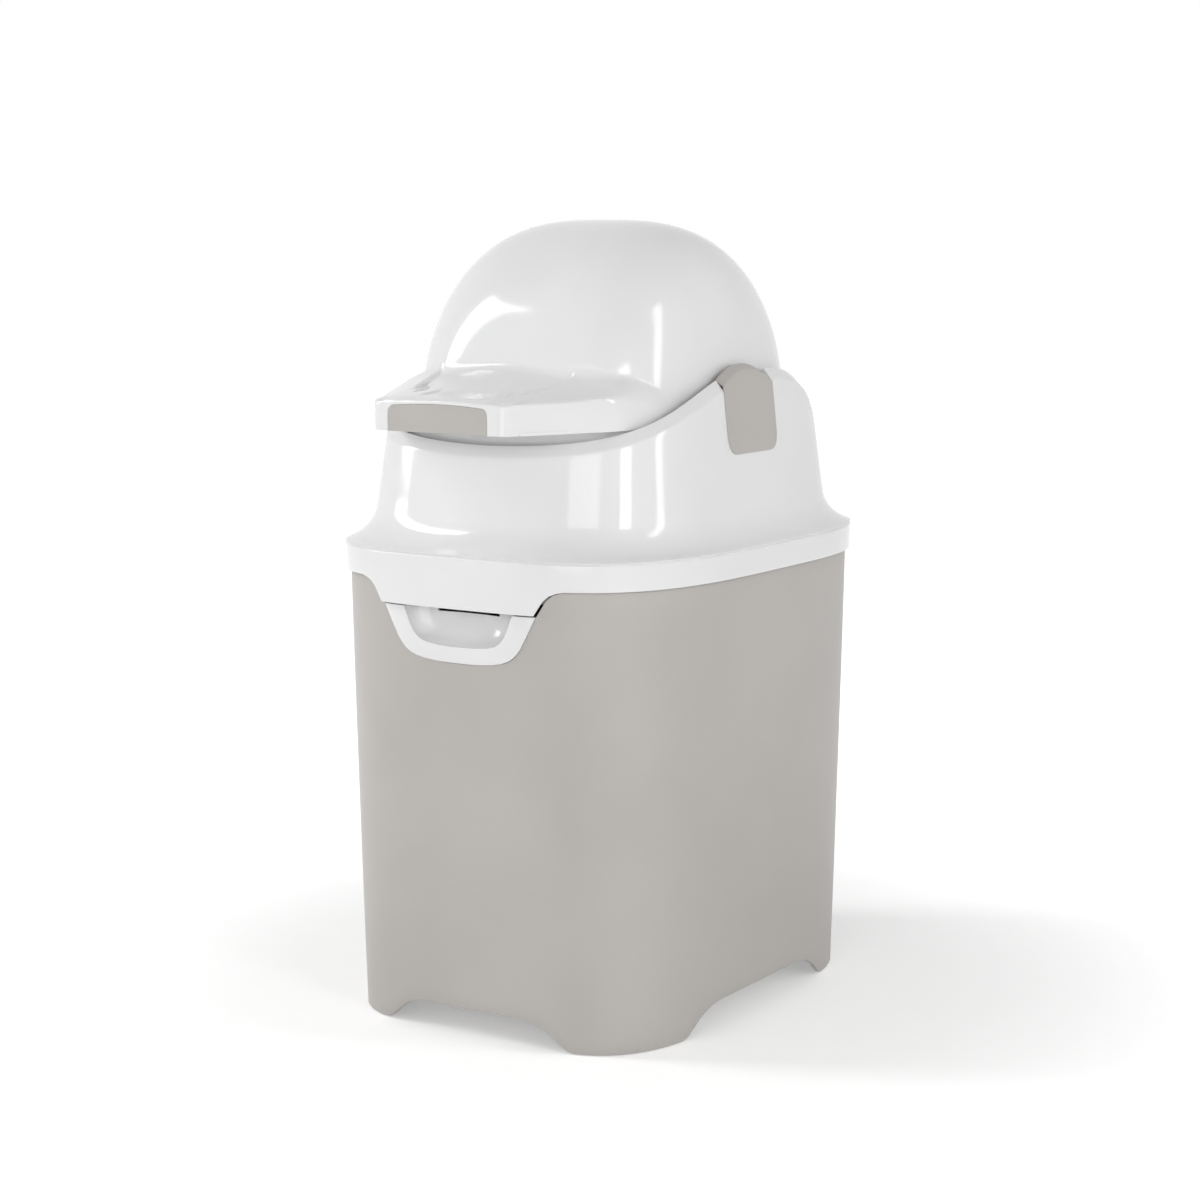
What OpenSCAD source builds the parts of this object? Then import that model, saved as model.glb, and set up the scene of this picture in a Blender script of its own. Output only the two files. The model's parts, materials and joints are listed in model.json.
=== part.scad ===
// Nappy bin: a grey oval bin with a white tilting top unit. A drum with a domed cover and a
// duck-bill handle flips front to back in the top unit, and a weighted piston slides in the
// drum's chamber to push each nappy out into the bag.
// Millimetres. The origin is on the floor under the middle of the bin, +Z is up, the handle
// points along -Y and the pivot axis of the drum lies along X.

/* [Bin] */
// Height of the grey bin up to the parting line
bin_h = 350; // [300:1:400]
// Width of the bin at its top edge
bin_top_w = 310; // [300:1:320]
// Depth of the bin at its top edge
bin_top_d = 409; // [400:1:420]
// Width of the bin at the floor
bin_foot_w = 290; // [280:1:300]
// Depth of the bin at the floor
bin_foot_d = 373; // [365:1:390]
// Wall of the bin
bin_wall = 3; // [2:0.1:3.5]
// Height of the underside of the bin's floor
bin_floor_z = 25; // [23:1:60]
// Height of the arches between the feet
arch_h = 21; // [10:1:22]
// Width of the front and back arches at the floor
front_arch_w = 170; // [100:1:180]
// Length of the side arches at the floor
side_arch_w = 215; // [120:1:240]

/* [Pull cup] */
// Width of the cup frame at the parting line
cup_w = 136; // [120:1:150]
// Width of the flat bottom of the cup frame
cup_bottom_w = 64; // [50:1:80]
// Height from the bottom edge of the cup frame up to the parting line
cup_h = 60; // [54:1:70]
// Depth of the finger pocket behind the bin's face
pocket_depth = 22; // [16:1:24]
// Width of the visible frame round the pocket
cup_frame_w = 13; // [10:1:15]

/* [Top unit] */
// Overhang of the rim beyond the bin, all round
rim_over = 3.6; // [2:0.1:6]
// Height of the rim band
rim_h = 20; // [16:1:24]
// Radius of the flare from the rim into the housing
flare_r = 30; // [24:1:32]
// Lean of the housing's sides
lean = 6.45; // [5.5:0.05:7]
// Gap between the drum's sides and the housing, which holds the bearings
drum_side_gap = 10.86; // [10:0.02:12]
// Gap between the drum and the housing at the front and at the rear
drum_gap = 6; // [5:0.1:8]
// Wall of the housing
housing_wall = 3; // [2:0.1:3.2]
// Width of the chamfer along the top edge
edge_chamfer = 7; // [5:0.5:7]
// Height of the chamfer along the top edge
edge_chamfer_h = 8.3; // [6:0.1:9]
// Distance of the top edge at the front below the pivot axis
front_edge_drop = 18.2; // [16.6:0.1:28.6]
// Distance of the top edge at the rear below the pivot axis
rear_edge_drop = 37.6; // [35.6:0.1:44.6]
// Height of the top edge beside the pivots above the pivot axis
hump_rise = 33.4; // [29.4:0.1:35.4]

/* [Drum] */
// Height of the drum's pivot axis above the parting line
pivot_rise = 118.6; // [117:0.1:120]
// Radius of the dome about the pivot axis
dome_r = 147.4; // [140:0.1:148]
// Radius of the lower drum about the pivot axis
drum_r = 159; // [156:0.5:159.5]
// Half width of the lower drum along the pivot axis
drum_half_w = 118; // [116:0.5:118]
// Step from the lower drum's side in to the dome's side
dome_step = 2; // [1:0.5:6]
// Wall of the dome and of the drum
drum_wall = 2.5; // [2:0.1:3]
// Distance of the parting plane between dome and drum below the pivot axis
split_drop = 5.4; // [4.6:0.1:6.6]
// Height of the cap that the mouth's plane cuts off the drum
mouth_cut = 16; // [14:0.5:18]
// Radius of the round mouth
mouth_r = 62; // [55:1:62]
// Outer radius of the nappy tube
tube_r = 68.5; // [66:0.5:68.5]
// Wall of the nappy tube
tube_wall = 2.5; // [2:0.1:3]
// Height of the nappy tube
tube_h = 245; // [242:1:252]

/* [Handle] */
// Distance of the handle's front edge from the middle
bill_reach = 226; // [215:1:228]
// Height of the handle's side faces
bill_h = 23.3; // [20:0.1:26]
// Rise of the handle's top from its front edge to the dome
bill_rise = 21; // [14:0.5:24]
// Radius of the round dish on the handle
dish_r = 60; // [50:1:64]
// Depth of the round dish
dish_depth = 2.4; // [1:0.1:4]
// Width of the soft grip
grip_w = 89; // [70:1:96]
// Depth of the soft grip from front to back
grip_d = 10; // [8:0.5:11]

/* [Pivots] */
// Radius of the drum's axle stubs
axle_r = 12; // [9:0.5:14]
// Radial running clearance of the axle stubs
axle_fit = 0.06; // [0.02:0.01:0.1]
// Width of the pivot cover
cap_w = 74; // [64:1:80]
// Distance of the pivot cover's bottom edge below the pivot axis
cap_drop = 29.3; // [24.6:0.1:32.6]
// Height of the pivot cover's arch above the pivot axis, on its outer face
cap_rise = 34.7; // [31.4:0.1:37.4]
// Radius of the pivot cover's arch
cap_arch_r = 66; // [50:1:80]
// Thickness by which the pivot cover stands proud
cap_proud = 1.2; // [0.8:0.1:2]

/* [Piston] */
// Height of the piston
piston_h = 44; // [36:1:50]
// Radial gap between the piston and the tube
piston_gap = 0.6; // [0.4:0.1:1]
// Height of the steel weight in the piston
weight_h = 16; // [10:1:20]

/* [Rear hinge] */
// Radius of the hinge knuckles
knuckle_r = 8.5; // [7:0.5:9]
// Gap between the rim and the hinge knuckles
hinge_gap = 0.9; // [0.6:0.1:3]
// Radius of the hinge pin
hinge_pin_r = 2.5; // [2:0.1:3]
// Width of the whole hinge
hinge_w = 90; // [70:1:110]
// Width of the top unit's knuckle
middle_knuckle_w = 44; // [30:1:50]

/* [Latch] */
// Width of the latch lever
latch_w = 50; // [36:1:56]
// Radius of the latch pin
latch_pin_r = 1.5; // [1.2:0.1:1.8]

/* [Hidden] */

$fn = 72;
white = "white";
grey = [0.69, 0.67, 0.65];
steel = [0.75, 0.76, 0.78];
rubber = [0.25, 0.25, 0.26];

eps = 0.2;              // overlap that makes a cut clean
seat = 0.1;             // gap between two pieces that sit face to face
fit = 0.3;              // gap between two neighbouring pieces
oval_steps = 96;        // points round each oval section
bin_n_top = 3.45;       // squareness of the oval at the rim
bin_n_foot = 4.2;       // squareness of the oval at the floor
housing_n = 3.7;        // squareness of the housing's top

// ---- shared mathematics -------------------------------------------------------------------

function mix(a, b, f) = a + (b - a) * f;
function power(v, p) = sign(v) * pow(abs(v), p);
// Point of a superellipse with half sizes hw and hd and squareness n, at the parameter angle t
function oval_point(hw, hd, n, t) = [hw * power(cos(t), 2 / n), hd * power(sin(t), 2 / n)];
function oval(hw, hd, n, steps = oval_steps) =
    [for (i = [0 : steps - 1]) oval_point(hw, hd, n, 360 * i / steps)];
function at_height(points, z) = [for (p = points) [p[0], p[1], z]];
// Half size of a superellipse across at the distance v from the middle
function oval_half(hw, hd, n, v) = hw * pow(1 - pow(min(abs(v) / hd, 1), n), 1 / n);

function ring_faces(lower, upper, count) = [for (j = [0 : count - 1])
    each let (k = (j + 1) % count)
        [[lower + j, upper + j, upper + k], [lower + j, upper + k, lower + k]]];

// Solid through a stack of rings, with a flat face at each end
module loft(rings) {
    count = len(rings[0]);
    last = (len(rings) - 1) * count;
    polyhedron(
        points = [for (r = rings) each r],
        faces = concat(
            [[for (j = [0 : count - 1]) j]],
            [[for (j = [count - 1 : -1 : 0]) last + j]],
            [for (i = [0 : len(rings) - 2]) each ring_faces(i * count, (i + 1) * count, count)]));
}

// Solid whose rings run up the outside, down the inside and back to the first
module loop_loft(rings) {
    count = len(rings[0]);
    polyhedron(
        points = [for (r = rings) each r],
        faces = [for (i = [0 : len(rings) - 1])
            each ring_faces(i * count, (i + 1) % len(rings) * count, count)]);
}

// ---- derived sizes ------------------------------------------------------------------------

pivot_z = bin_h + pivot_rise;
split_z = pivot_z - split_drop;
front_edge_z = pivot_z - front_edge_drop;
rear_edge_z = pivot_z - rear_edge_drop;
hump_z = pivot_z + hump_rise;
cap_bottom_z = pivot_z - cap_drop;
cap_top_z = pivot_z + cap_rise;
cup_bottom_z = bin_h - cup_h;
rim_half_w = bin_top_w / 2 + rim_over;
rim_half_d = bin_top_d / 2 + rim_over;
rim_bottom_z = bin_h + fit;
rim_top_z = bin_h + rim_h;
flare_centre_z = rim_top_z + flare_r;
flare_end_z = flare_centre_z - flare_r * sin(lean);
// Inward step from the rim's side to the housing's side at the top of the flare, and at the pivots
pivot_in = rim_half_w - (drum_half_w + drum_side_gap + housing_wall);
shoulder_in = pivot_in - (pivot_z - flare_end_z) * tan(lean);
flare_centre_in = shoulder_in - flare_r * cos(lean);
// Ratio of the inward step at the front to that at the sides
front_lean_ratio = (rim_half_d - (drum_r + drum_gap + housing_wall)) / pivot_in;
dome_half_w = drum_half_w - dome_step;
mouth_drop = drum_r - mouth_cut;
tube_floor_z = pivot_z - mouth_drop + drum_wall + seat;
tube_bore_r = tube_r - tube_wall;
tube_top_z = tube_floor_z + tube_h;
piston_r = tube_bore_r - piston_gap;
piston_z = tube_floor_z + 0.2;
hinge_y = rim_half_d + hinge_gap + knuckle_r;
hinge_z = bin_h + 2;

// ---- bin ----------------------------------------------------------------------------------

function bin_half_w(z) = mix(bin_foot_w, bin_top_w, z / bin_h) / 2;
function bin_half_d(z) = mix(bin_foot_d, bin_top_d, z / bin_h) / 2;
function bin_n(z) = mix(bin_n_foot, bin_n_top, z / bin_h);
function bin_ring(z, inset) =
    at_height(oval(bin_half_w(z) - inset, bin_half_d(z) - inset, bin_n(z)), z);

module bin_form(z0, z1, inset, stages = 4)
    loft([for (i = [0 : stages]) bin_ring(mix(z0, z1, i / stages), inset)]);

arch_flank = 26;        // horizontal length of each end of an arch
// Outline of an arch of the width w between two feet, with S-shaped ends
function arch_outline(w) = concat(
    [[-w / 2, -eps]],
    [for (i = [0 : 6]) [-w / 2 + arch_flank * i / 6, arch_h * (1 - cos(30 * i)) / 2]],
    [for (i = [6 : -1 : 0]) [w / 2 - arch_flank * i / 6, arch_h * (1 - cos(30 * i)) / 2]],
    [[w / 2, -eps]]);

cup_corner = 16;        // radius of the lower corners of the cup frame
lip_flare = 24;         // extra width of the notch at each end of the parting line
lip_corner_z = bin_h - 18;  // bottom edge of the rim's front lip
// Outline of the notch for cup and lip, grown by g
module notch_outline(g) {
    half = cup_w / 2 + g;
    low = cup_bottom_w / 2 + g;
    flank = atan2(half - low - 16, lip_corner_z - cup_bottom_z - 8);
    polygon(concat(
        [[half + lip_flare, bin_h + 6], [half + lip_flare, bin_h]],
        [for (i = [0 : 4]) [half + 5 + (lip_flare - 5) * (1 - sin(i * 22.5)),
            mix(bin_h, lip_corner_z + 8, 1 - cos(i * 22.5))]],
        [[half, lip_corner_z]],
        [for (i = [0 : 5]) let (a = -flank - i * (90 - flank) / 5)
            [low - 4 + cup_corner * cos(a), cup_bottom_z - g + cup_corner * (1 + sin(a))]],
        [for (i = [5 : -1 : 0]) let (a = -flank - i * (90 - flank) / 5)
            [-low + 4 - cup_corner * cos(a), cup_bottom_z - g + cup_corner * (1 + sin(a))]],
        [[-half, lip_corner_z]],
        [for (i = [4 : -1 : 0]) [-half - 5 - (lip_flare - 5) * (1 - sin(i * 22.5)),
            mix(bin_h, lip_corner_z + 8, 1 - cos(i * 22.5))]],
        [[-half - lip_flare, bin_h], [-half - lip_flare, bin_h + 6]]));
}

// Prism of a front outline, from the depth y0 to y1
module front_prism(y0, y1) translate([0, y1, 0]) rotate([90, 0, 0]) linear_extrude(y1 - y0) children();
module side_prism(x0, x1) translate([x0, 0, 0]) rotate([90, 0, 90]) linear_extrude(x1 - x0) children();

ledge_drop = 68;        // distance of the bag ring's ledge below the parting line
ledge_z = bin_h - ledge_drop;
ledge_h = 3;
ledge_in = 4;
module bin_shell() color(grey) difference() {
    bin_form(0, bin_h, 0, 5);
    bin_form(bin_floor_z + bin_wall, ledge_z, bin_wall, 3);
    bin_form(ledge_z - eps, ledge_z + ledge_h + eps, bin_wall + ledge_in, 1);
    bin_form(ledge_z + ledge_h, bin_h + 1, bin_wall, 1);
    bin_form(-1, bin_floor_z, bin_wall, 1);
    front_prism(-bin_foot_d, bin_foot_d) polygon(arch_outline(front_arch_w));
    side_prism(-bin_foot_w, bin_foot_w) polygon(arch_outline(side_arch_w));
    front_prism(-bin_top_d, -bin_top_d / 4) notch_outline(0.2);
    hinge_screw_holes(hinge_screw_r);
    cup_screw_places() cylinder(h = 2 * bin_wall, r = cup_screw_r, $fn = 24);
}

// ---- pull cup and latch -------------------------------------------------------------------

cup_face_y = -bin_half_d(cup_bottom_z + 20);
cup_top_z = lip_corner_z - 1.5;
cup_wall = 2.2;
pocket_top_half = cup_w / 2 - cup_frame_w - 2.5;
pocket_floor_z = cup_bottom_z + cup_frame_w;
latch_axis_y = cup_face_y + 12;
latch_axis_z = cup_top_z + 4;

// Outline of the pocket, drawn in by the amount d at its back
module pocket_outline(d) {
    low = pocket_top_half - 20 - d;
    polygon(concat(
        [[pocket_top_half - d, cup_top_z + 0.01]],
        [for (i = [0 : 4]) let (a = -30 - i * 15)
            [low - 12 + 14 * cos(a), pocket_floor_z + d / 2 + 14 * (1 + sin(a))]],
        [for (i = [4 : -1 : 0]) let (a = -30 - i * 15)
            [-low + 12 - 14 * cos(a), pocket_floor_z + d / 2 + 14 * (1 + sin(a))]],
        [[-pocket_top_half + d, cup_top_z + 0.01]]));
}
module pocket_form(grow, back) hull() {
    front_prism(cup_face_y - 8, cup_face_y + 1) offset(delta = grow) pocket_outline(0);
    front_prism(back - 1, back) offset(delta = grow) pocket_outline(7);
}

cup_flange_t = 2;
cup_back = bin_wall + seat + cup_flange_t;
module cup_band(z0, z1, outer, inner) difference() {
    bin_form(z0, z1, outer, 1);
    bin_form(z0 - 1, z1 + 1, inner, 1);
}
module pull_cup() color(white) difference() {
    union() {
        // frame that lies flush with the bin's face
        intersection() {
            front_prism(-bin_top_d, -bin_top_d / 4) notch_outline(0);
            cup_band(cup_bottom_z - 5, cup_top_z, -0.7, cup_back);
        }
        // side flanges that bear on the inside of the bin's wall
        intersection() {
            front_prism(-bin_top_d, -bin_top_d / 4) notch_outline(8);
            cup_band(cup_bottom_z + 8, lip_corner_z - 14, cup_back - cup_flange_t, cup_back);
        }
        // walls of the finger pocket
        intersection() {
            pocket_form(cup_wall, cup_face_y + pocket_depth);
            bin_form(cup_bottom_z - 5, cup_top_z, 0, 1);
        }
        // ears that carry the latch pin
        for (side = [-1, 1]) cup_ear(side);
    }
    pocket_form(0, cup_face_y + pocket_depth - cup_wall);
    along_latch_axis(-latch_w, 2 * latch_w, latch_pin_r);
    cup_screw_places() translate([0, 0, -12]) cylinder(h = 20, r = cup_screw_r, $fn = 24);
}
// Cylinder about the latch's axis, from x0 over the length w
module along_latch_axis(x0, w, r)
    translate([x0, latch_axis_y, latch_axis_z]) rotate([0, 90, 0]) cylinder(h = w, r = r);
ear_t = 3;
module cup_ear(side)
    translate([side * (latch_w / 2 + 0.5 + ear_t / 2) - ear_t / 2, 0, 0])
        rotate([90, 0, 90]) linear_extrude(ear_t) polygon([
            [latch_axis_y - 4, latch_axis_z + 4], [latch_axis_y - 4, cup_top_z - 3],
            [cup_face_y + pocket_depth, cup_top_z - 14], [cup_face_y + pocket_depth, latch_axis_z + 4]]);

cup_screw_r = 1.2;
cup_screw_spots = [[cup_w / 2 - 4, cup_bottom_z + 23], [cup_w / 2 - 11, cup_bottom_z + 13]];
// Places of the cup's screws on the inside of the bin's wall, with the Z axis outwards
module cup_screw_places() for (side = [-1, 1], p = cup_screw_spots)
    translate([side * p[0], -bin_ring_y(p[0], p[1]) + bin_wall, p[1]]) rotate([90, 0, 0])
        translate([0, 0, -0.6]) children();
function bin_ring_y(x, z) = bin_half_d(z) * pow(1 - pow(x / bin_half_w(z), bin_n(z)), 1 / bin_n(z));
module cup_screws() color(steel) cup_screw_places() translate([0, 0, -cup_flange_t - 0.2]) {
    cylinder(h = 4.6, r = cup_screw_r - 0.05, $fn = 24);
    translate([0, 0, -1.6]) cylinder(h = 1.6, r = 2.4, $fn = 24);
}

// Lever: a finger tab behind the front lip and a nose that hooks over the catch
nose_y = cup_face_y + 3.6;
nose_z = latch_axis_z + 6.5;
hub_r = 3.6;
lever_tab = 3.6;
module latch_lever() color(grey) difference() {
    union() {
        translate([-latch_w / 2, 0, 0]) rotate([90, 0, 90]) linear_extrude(latch_w) polygon([
            [nose_y, nose_z + 0.8], [nose_y, nose_z + 2], [latch_axis_y - 3, nose_z + 3.2],
            [latch_axis_y + 0.6, nose_z + 2], [latch_axis_y + hub_r - 0.1, latch_axis_z],
            [latch_axis_y + 1, latch_axis_z - 3], [latch_axis_y - 2.8, latch_axis_z - lever_tab],
            [latch_axis_y - 5.4, latch_axis_z - lever_tab + 0.6], [latch_axis_y - hub_r + 0.1, latch_axis_z],
            [latch_axis_y - 2.4, nose_z + 0.8]]);
        along_latch_axis(-latch_w / 2, latch_w, hub_r);
    }
    along_latch_axis(-latch_w, 2 * latch_w, latch_pin_r + 0.06);
    translate([-7, latch_axis_y - 8, latch_axis_z - 9]) cube([14, 16, 9 + 6]);
}
module latch_pin() color(steel)
    along_latch_axis(-latch_w / 2 - 0.5 - ear_t, latch_w + 1 + 2 * ear_t, latch_pin_r - 0.02);
module latch_spring() color(steel) difference() {
    along_latch_axis(-6.6, 13.2, latch_pin_r + 1.1);
    along_latch_axis(-7, 14, latch_pin_r + 0.1);
}

// ---- bag ring -----------------------------------------------------------------------------

ring_z = ledge_z + ledge_h + seat;
ring_h = 8;
ring_w = 7;
module bag_ring() color(white) difference() {
    loft([bin_ring(ring_z, bin_wall + 0.8), bin_ring(ring_z + ring_h, bin_wall + 0.8)]);
    loft([bin_ring(ring_z - 1, bin_wall + ring_w), bin_ring(ring_z + ring_h + 1, bin_wall + ring_w)]);
    translate([-cup_w / 2 - 4, -bin_top_d / 2, ring_z - 1]) cube([cup_w + 8, bin_top_d / 4, ring_h + 2]);
}

// ---- rear hinge ---------------------------------------------------------------------------

hinge_screw_r = 1.8;
outer_knuckle_w = (hinge_w - middle_knuckle_w) / 2 - fit;
bracket_h = 34;
bracket_low_z = bin_h - bracket_h;
module hinge_screw_places() for (side = [-1, 1], z = [bracket_low_z + 7, bracket_low_z + 20])
    translate([side * hinge_w * 0.38, bin_half_d(z), z]) rotate([-90, 0, 0]) children();
module hinge_screw_holes(r) hinge_screw_places() cylinder(h = 30, r = r, center = true, $fn = 24);

module knuckle(x0, w) translate([x0, hinge_y, hinge_z]) rotate([0, 90, 0]) cylinder(h = w, r = knuckle_r);
module hinge_bracket() color(grey) difference() {
    union() {
        for (x0 = [-hinge_w / 2, hinge_w / 2 - outer_knuckle_w]) {
            knuckle(x0, outer_knuckle_w);
            translate([x0, 0, 0]) rotate([90, 0, 90]) linear_extrude(outer_knuckle_w) polygon([
                [hinge_y - knuckle_r - 3, bracket_low_z + 12], [hinge_y - knuckle_r - 3, bin_h - 11],
                [hinge_y - knuckle_r - 1, bin_h - 11], [hinge_y - knuckle_r - 1, bin_h - 2],
                [hinge_y - 5, hinge_z], [hinge_y + knuckle_r - 1, hinge_z - 2], [hinge_y - 4, bracket_low_z + 12]]);
        }
        translate([-hinge_w / 2, 0, 0]) rotate([90, 0, 90]) linear_extrude(hinge_w) polygon([
            [bin_half_d(bracket_low_z) + seat, bracket_low_z], [bin_half_d(bin_h - 10) + seat, bin_h - 10],
            [bin_half_d(bin_h - 10) + 4, bin_h - 10], [bin_half_d(bin_h - 10) + 4, bracket_low_z]]);
    }
    translate([-hinge_w, hinge_y, hinge_z]) rotate([0, 90, 0]) cylinder(h = 2 * hinge_w, r = hinge_pin_r);
    hinge_screw_holes(hinge_screw_r);
}
module hinge_pin() color(steel)
    translate([-hinge_w / 2, hinge_y, hinge_z]) rotate([0, 90, 0]) cylinder(h = hinge_w, r = hinge_pin_r - 0.02);
module hinge_screws() color(steel) hinge_screw_places() {
    translate([0, 0, -bin_wall - 0.7]) cylinder(h = bin_wall + 4.2, r = hinge_screw_r - 0.1, $fn = 24);
    translate([0, 0, -bin_wall - 2.7]) cylinder(h = 2.1, r = 3.6, $fn = 24);
}

lid_plate_t = 3;
module lid_hinge() color(white) difference() {
    union() {
        knuckle(-middle_knuckle_w / 2, middle_knuckle_w);
        translate([-middle_knuckle_w / 2, 0, 0]) rotate([90, 0, 90]) linear_extrude(middle_knuckle_w) polygon([
            [rim_half_d + seat, bin_h + 2.5], [rim_half_d + seat, rim_top_z - 2],
            [rim_half_d + lid_plate_t, rim_top_z - 2], [hinge_y + 4, hinge_z + 6], [hinge_y - 2, hinge_z + 1]]);
    }
    translate([-hinge_w, hinge_y, hinge_z]) rotate([0, 90, 0]) cylinder(h = 2 * hinge_w, r = hinge_pin_r + 0.05);
    lid_hinge_screw_places() cylinder(h = 40, r = hinge_screw_r, center = true, $fn = 24);
}
module lid_hinge_screw_places() for (side = [-1, 1])
    translate([side * 14, rim_half_d, rim_top_z - 7.5]) rotate([-90, 0, 0]) children();
module lid_hinge_screws() color(steel) lid_hinge_screw_places() {
    translate([0, 0, -housing_wall - 1]) cylinder(h = housing_wall + 3.5, r = hinge_screw_r - 0.1, $fn = 24);
    translate([0, 0, -housing_wall - 2.5]) cylinder(h = 2.2, r = 3.2, $fn = 24);
}

// ---- top unit housing ---------------------------------------------------------------------

// Inward step of the housing's side from the rim's side at the height z
function step_in(z) = z < rim_top_z ? 0 : z < flare_end_z
    ? max(0, flare_centre_in + sqrt(pow(flare_r, 2) - pow(flare_centre_z - z, 2)))
    : shoulder_in + (z - flare_end_z) * tan(lean);
function housing_half_w(z) = rim_half_w - step_in(z);
function housing_half_d(z) = rim_half_d - front_lean_ratio * step_in(z);
function housing_squareness(z) = mix(bin_n_top, housing_n, min(step_in(z) / 25, 1));
function housing_ring(z, inset) =
    at_height(oval(housing_half_w(z) - inset, housing_half_d(z) - inset, housing_squareness(z)), z);
function rim_ring(z, inset) = at_height(oval(rim_half_w - inset, rim_half_d - inset, bin_n_top), z);

front_slope = 0.37;     // share of the front's rise that runs evenly from the middle to the pivots
front_sweep = 3.85;     // bend of the rest of the front's rise
rear_turn = 52;         // angle from the pivots at which the rear's drop ends
rear_sweep = 1.2;       // bend of the rear's drop
// Height of the inner top edge at the angle t round the oval, with 0 beside the right-hand pivot
function edge_z(t) = t > 180 ? let (s = abs(t - 270) / 90)
    mix(front_edge_z, hump_z, front_slope * s + (1 - front_slope) * pow(s, front_sweep))
    : mix(rear_edge_z, hump_z, cos(90 * pow(min(min(t, 180 - t) / rear_turn, 1), rear_sweep)));
edge_base_z = flare_end_z + 11.4;
// Ring of the upper wall: the share f of the way from edge_base_z to the outer top edge
function edge_ring(f, inset, lift = 0) = [for (i = [0 : oval_steps - 1])
    let (t = 360 * i / oval_steps,
        z = mix(edge_base_z, edge_z(t) - edge_chamfer_h, f),
        n = housing_squareness(z),
        p = oval_point(housing_half_w(z) - inset, housing_half_d(z) - inset, n, t))
        [p[0], p[1], z + lift]];

flange_in = 18;         // inward reach of the flange that carries the deck
skirt_out = 8.6;        // inset of the locating skirt inside the bin's wall
skirt_t = 2;
skirt_z = bin_h - 10;
lip_t = 2.6;            // thickness of the front lip
module housing_wall_solid() loop_loft(concat(
    [rim_ring(rim_bottom_z, 0.8), rim_ring(rim_bottom_z + 0.8, 0), rim_ring(rim_top_z - 1.2, 0)],
    [for (a = [24 : 12 : 84]) housing_ring(flare_centre_z - flare_r * cos(a), 0)],
    [for (f = [0 : 0.25 : 1]) edge_ring(f, 0)],
    [edge_ring(1, edge_chamfer, edge_chamfer_h)],
    [edge_ring(1, edge_chamfer, 2)],
    [edge_ring(0.8, housing_wall), edge_ring(0.4, housing_wall), edge_ring(0, housing_wall)],
    [for (a = [84 : -12 : 36]) housing_ring(flare_centre_z - flare_r * cos(a), housing_wall)],
    [rim_ring(rim_top_z - 3, housing_wall), rim_ring(rim_bottom_z + 3, housing_wall)],
    [rim_ring(rim_bottom_z + 3, flange_in), rim_ring(rim_bottom_z, flange_in)],
    [rim_ring(rim_bottom_z, skirt_out + skirt_t), rim_ring(skirt_z, skirt_out + skirt_t)],
    [rim_ring(skirt_z, skirt_out), rim_ring(rim_bottom_z, skirt_out)]));

// Places its children at the wall beside the pivot, with their Z axis along the outward normal
module at_pivot_wall(side) mirror([side < 0 ? 1 : 0, 0, 0])
    translate([housing_half_w(pivot_z), 0, pivot_z]) rotate([0, 90 - lean, 0]) rotate([0, 0, 90]) children();

wall_hole_r = axle_r + 5.3;
cap_seat_z = pivot_z + wall_hole_r + 1.1;   // bottom of the notch for the pivot cover in the top edge
module top_housing() color(white) difference() {
    housing_wall_solid();
    for (side = [-1, 1]) at_pivot_wall(side) cylinder(h = 30, r = wall_hole_r, center = true);
    // room for the catch in the skirt
    translate([-catch_foot_w / 2 - fit, -rim_half_d + skirt_out - 2, skirt_z - 1])
        cube([catch_foot_w + 2 * fit, skirt_t + 4, rim_bottom_z - skirt_z + 1.05]);
    for (side = [-1, 1]) bearing_screw_places(side)
        cylinder(h = bearing_screw_l + 0.6, r = bearing_screw_r, $fn = 24);
    translate([-rim_half_w, -cap_w / 2 - 0.2, cap_seat_z]) cube([2 * rim_half_w, cap_w + 0.4, 50]);
    deck_screw_places() cylinder(h = 9, r = deck_screw_r, center = true, $fn = 24);
    lid_hinge_screw_places() cylinder(h = 20, r = hinge_screw_r, center = true, $fn = 24);
}

// ---- deck, seals and catch ----------------------------------------------------------------

drum_n = 3.7;
dome_n = 3.2;
// Outline of the lower drum cut at the distance h below the pivot axis, grown by g
function drum_section(h, g) = [for (i = [0 : oval_steps - 1])
    let (t = 360 * i / oval_steps,
        wide = drum_half_w * pow(1 - pow(h / drum_r, drum_n), 1 / drum_n),
        x = wide * power(cos(t), 0.6),
        r = drum_r * pow(max(1 - pow(abs(x) / drum_half_w, drum_n), 0), 1 / drum_n),
        y = sign(sin(t)) * sqrt(max(r * r - h * h, 0)))
        [x + g * cos(t), y + g * sin(t)]];

deck_t = 3;
deck_z = rim_bottom_z - seat - deck_t;
deck_gap = 2.5;
module lid_deck() color(white) difference() {
    translate([0, 0, deck_z]) linear_extrude(deck_t) difference() {
        polygon(oval(rim_half_w - skirt_out - skirt_t - 0.3, rim_half_d - skirt_out - skirt_t - 0.3, bin_n_top));
        polygon(drum_section(pivot_z - deck_z - deck_t, deck_gap));
    }
    deck_screw_places() cylinder(h = 20, r = deck_screw_r + 0.3, center = true, $fn = 24);
    translate([-catch_foot_w / 2 - fit, -rim_half_d, deck_z - 1])
        cube([catch_foot_w + 2 * fit, rim_half_d + catch_back_y + fit, 10]);
}
deck_screw_r = 1.8;
// Eight screws round the deck and two through the foot of the catch
module deck_screw_places() {
    for (i = [0 : 7]) let (p = oval_point(rim_half_w - 14.8, rim_half_d - 14.8, bin_n_top, 22.5 + 45 * i))
        translate([p[0], p[1], rim_bottom_z]) children();
    for (side = [-1, 1]) translate([side * (catch_foot_w / 2 - 6), catch_back_y - 6, rim_bottom_z]) children();
}
module deck_screws() color(steel) deck_screw_places() {
    translate([0, 0, -deck_t - 0.5]) cylinder(h = deck_t + 3, r = deck_screw_r - 0.1, $fn = 24);
    translate([0, 0, -deck_t - seat - 2.2]) cylinder(h = 2, r = 3, $fn = 24);
}

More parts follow.
